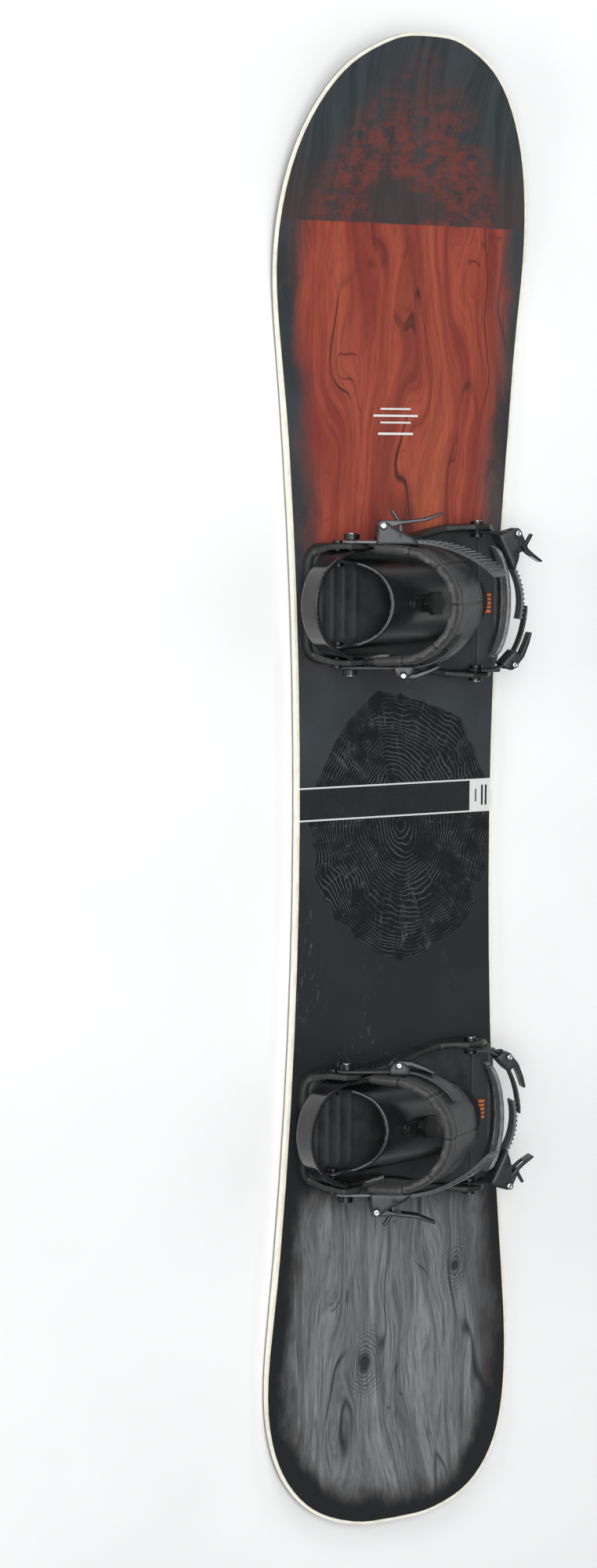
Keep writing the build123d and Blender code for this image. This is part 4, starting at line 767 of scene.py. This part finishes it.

# ---------------------------------------------------------------- toe caps
# A stretchy moulded cap over the boot's toe: a smooth grey rib and a black one, either side of a
# long slot, with a fine moulded groove along each that is painted dark as its shade.
cap_rubber, cap_shader = new_material("cap_rubber", (0.06, 0.062, 0.064), 0.34)
cap_across, cap_slot, cap_along = run_of(cap_rubber, "cap_run")
patina = noise(cap_rubber, position(cap_rubber), 120, 4, 0.6)
rubber = tint(cap_rubber, between(cap_rubber, patina, 0.3, 0.7), (0.018, 0.019, 0.020),
              (0.034, 0.036, 0.037))
pale_rib = tint(cap_rubber, between(cap_rubber, patina, 0.3, 0.7), (0.10, 0.108, 0.112),
                (0.17, 0.18, 0.185))
rubber = tint(cap_rubber, between(cap_rubber, cap_across, 0.0035, 0.0045, 1, 0), rubber, pale_rib)
# The moulded groove along each rib is painted near black: painted shade in the groove.
line = between(cap_rubber, maths(cap_rubber, "ABSOLUTE", maths(
    cap_rubber, "SUBTRACT", maths(cap_rubber, "ABSOLUTE", cap_slot), 0.0095)), 0.0002, 0.0008, 1,
    0)
rubber = tint(cap_rubber, line, rubber, (0.006, 0.006, 0.006))
connect(cap_rubber, rubber, cap_shader, "Base Color")
connect(cap_rubber, between(cap_rubber, patina, 0.3, 0.7, 0.26, 0.40), cap_shader, "Roughness")
bumped(cap_rubber, cap_shader, noise(cap_rubber, position(cap_rubber), 1500, 2), 0.12, 0.0002)
cap_down, cap_forward = sin(radians(70)), cos(radians(70))
for foot in FEET:
    cap = soft_copy(foot + "_toe_cap", foot + "_moulded_toe_cap", 0.0013, 3)
    divide(cap, 1)
    local = to_binding(points_of(cap), foot) - np.array((0, -0.080, 0.028))
    width = -cap_forward * local[:, 1] - cap_down * local[:, 2]
    height = local[:, 2] - 0.013
    pressed = dent(np.abs(height) - 0.0095, 0.0007, 0.0009)
    set_points(cap, points_of(cap) + points_of(cap, "normal") * pressed[:, None])
    keep(cap, "cap_run", np.column_stack((-height, height, local[:, 0])))
    cap.data.materials.append(cap_rubber)
    bpy.ops.object.shade_smooth()
    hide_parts(foot + "_toe_cap")
    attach(cap, foot + "_toe_strap")

# ---------------------------------------------------------------- footbeds, toe ramps, liners
# Pressed EVA foam under the boot and inside the highback, glued in. The footbed is ribbed at the
# heel, and each toe ramp has a small plain orange badge at its middle.
foam, foam_shader = new_material("pressed_foam", (0.018, 0.019, 0.020), 0.66)
cells = put(foam, "ShaderNodeTexVoronoi",
            {"Vector": position(foam), "Scale": 900}).outputs["Distance"]
cloud = noise(foam, position(foam), 40, 4, 0.6)
foam_colour = tint(foam, between(foam, cloud, 0.3, 0.7), (0.013, 0.014, 0.015),
                   (0.026, 0.028, 0.029))
foam_place = put(foam, "ShaderNodeSeparateXYZ", {"Vector": position(foam)}).outputs
badge = 0.0
for badge_x in (0.194, -0.343):
    for shift, half in ((-0.0085, 0.0016), (-0.0042, 0.0013), (0.0, 0.0017), (0.0042, 0.0013),
                        (0.0085, 0.0016)):
        bar = maths(foam, "MULTIPLY", between(foam, maths(foam, "ABSOLUTE", maths(
            foam, "SUBTRACT", foam_place[0], badge_x + shift)), half - 0.0003, half, 1, 0),
            between(
                foam, maths(foam, "ABSOLUTE", maths(foam, "ADD", foam_place[1], 0.1035)),
                0.0030, 0.0034, 1, 0))
        badge = maths(foam, "MAXIMUM", bar, badge)
badge = maths(foam, "MULTIPLY", badge, between(foam, foam_place[2], 0.020, 0.0205))
foam_colour = tint(foam, badge, foam_colour, (0.62, 0.13, 0.012))
connect(foam, foam_colour, foam_shader, "Base Color")
connect(foam, between(foam, cloud, 0.3, 0.7, 0.58, 0.74), foam_shader, "Roughness")
foam_relief = bumped(foam, foam_shader, cells, 0.35, 0.0004)
bumped(foam, foam_shader, cloud, 0.2, 0.001, foam_relief)
for foot in FEET:
    for node, name, voxel, body in (
            ("footbed", "foam_footbed", 0.0018, "root"),
            ("toe_ramp", "foam_toe_ramp", 0.0014, "root"),
            ("highback_pad", "foam_liner", 0.0018, foot + "_highback_body")):
        foam_piece = soft_copy(f"{foot}_{node}", f"{foot}_{name}", voxel, 2)
        foam_piece.data.materials.append(foam)
        bpy.ops.object.shade_smooth()
        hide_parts(f"{foot}_{node}")
        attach(foam_piece, body)

# ---------------------------------------------------------------- floor, light and camera
# The board lies on a pale studio floor under large soft lights.
floor_pale, floor_shader = new_material("floor_pale", (0.82, 0.82, 0.82), 0.7)
dust_field = noise(floor_pale, position(floor_pale), 3, 3)
connect(floor_pale, tint(floor_pale, between(floor_pale, dust_field, 0.3, 0.7), (0.80, 0.80, 0.80),
        (0.84, 0.84, 0.84)), floor_shader, "Base Color")
bpy.ops.object.select_all(action="DESELECT")
bpy.ops.mesh.primitive_grid_add(x_subdivisions=12, y_subdivisions=12, size=16,
                                location=(0, 0, -0.0005))
floor = bpy.context.object
floor.name = "studio_floor"
bpy.ops.object.transform_apply(location=True, rotation=True, scale=True)
floor.data.materials.append(floor_pale)


def soft_light(name, place, target, width, height, power, colour=(1, 1, 1)):
    """A rectangular softbox aimed at a point."""
    lamp = bpy.data.lights.new(name, "AREA")
    lamp.shape = "RECTANGLE"
    lamp.size, lamp.size_y = width, height
    lamp.energy = power
    lamp.color = colour
    box = bpy.data.objects.new(name, lamp)
    bpy.context.scene.collection.objects.link(box)
    box.location = place
    box.rotation_euler = (Vector(target) - Vector(place)).to_track_quat("-Z", "Y").to_euler()


broad_sun = bpy.data.lights.new("broad_sun", "SUN")
broad_sun.energy = 1.35
broad_sun.angle = radians(50)
sun_box = bpy.data.objects.new("broad_sun", broad_sun)
bpy.context.scene.collection.objects.link(sun_box)
sun_box.rotation_euler = Vector((-0.1, -0.55, -1)).to_track_quat("-Z", "Y").to_euler()
soft_light("overhead_softbox", (0.2, 1.7, 3.0), (0, 0, 0), 2.4, 1.2, 42)
soft_light("heel_side_softbox", (0.5, 2.4, 0.9), (0, 0, 0.05), 0.9, 0.5, 16)
soft_light("toe_side_strip", (0.0, -2.4, 1.1), (0, 0, 0.05), 2.6, 0.35, 12)
soft_light("nose_fill", (2.6, 0.4, 1.6), (0.2, 0, 0.05), 1.2, 1.2, 20)
world = bpy.data.worlds.new("studio")
bpy.context.scene.world = world
world.use_nodes = True
world.node_tree.nodes["Background"].inputs["Color"].default_value = (0.95, 0.97, 1.0, 1)
world.node_tree.nodes["Background"].inputs["Strength"].default_value = 0.30
bpy.context.scene.view_settings.view_transform = "Standard"

lens = bpy.data.cameras.new("studio_camera")
lens.sensor_fit = "AUTO"
lens.sensor_width = 36.0
lens.lens = 88.40
camera = bpy.data.objects.new("studio_camera", lens)
bpy.context.scene.collection.objects.link(camera)
right = Vector((0.00834466, -0.82511152, 0.56490826))
up = Vector((0.99573722, -0.04503815, -0.08049197))
ahead = Vector((-0.09185728, -0.56317186, -0.82121842))
camera.matrix_world = Matrix.Translation((0.374284, 2.343053, 3.245263)) @ Matrix(
    (right, up, -ahead)).transposed().to_4x4()
lens.clip_end = 60
bpy.context.scene.camera = camera
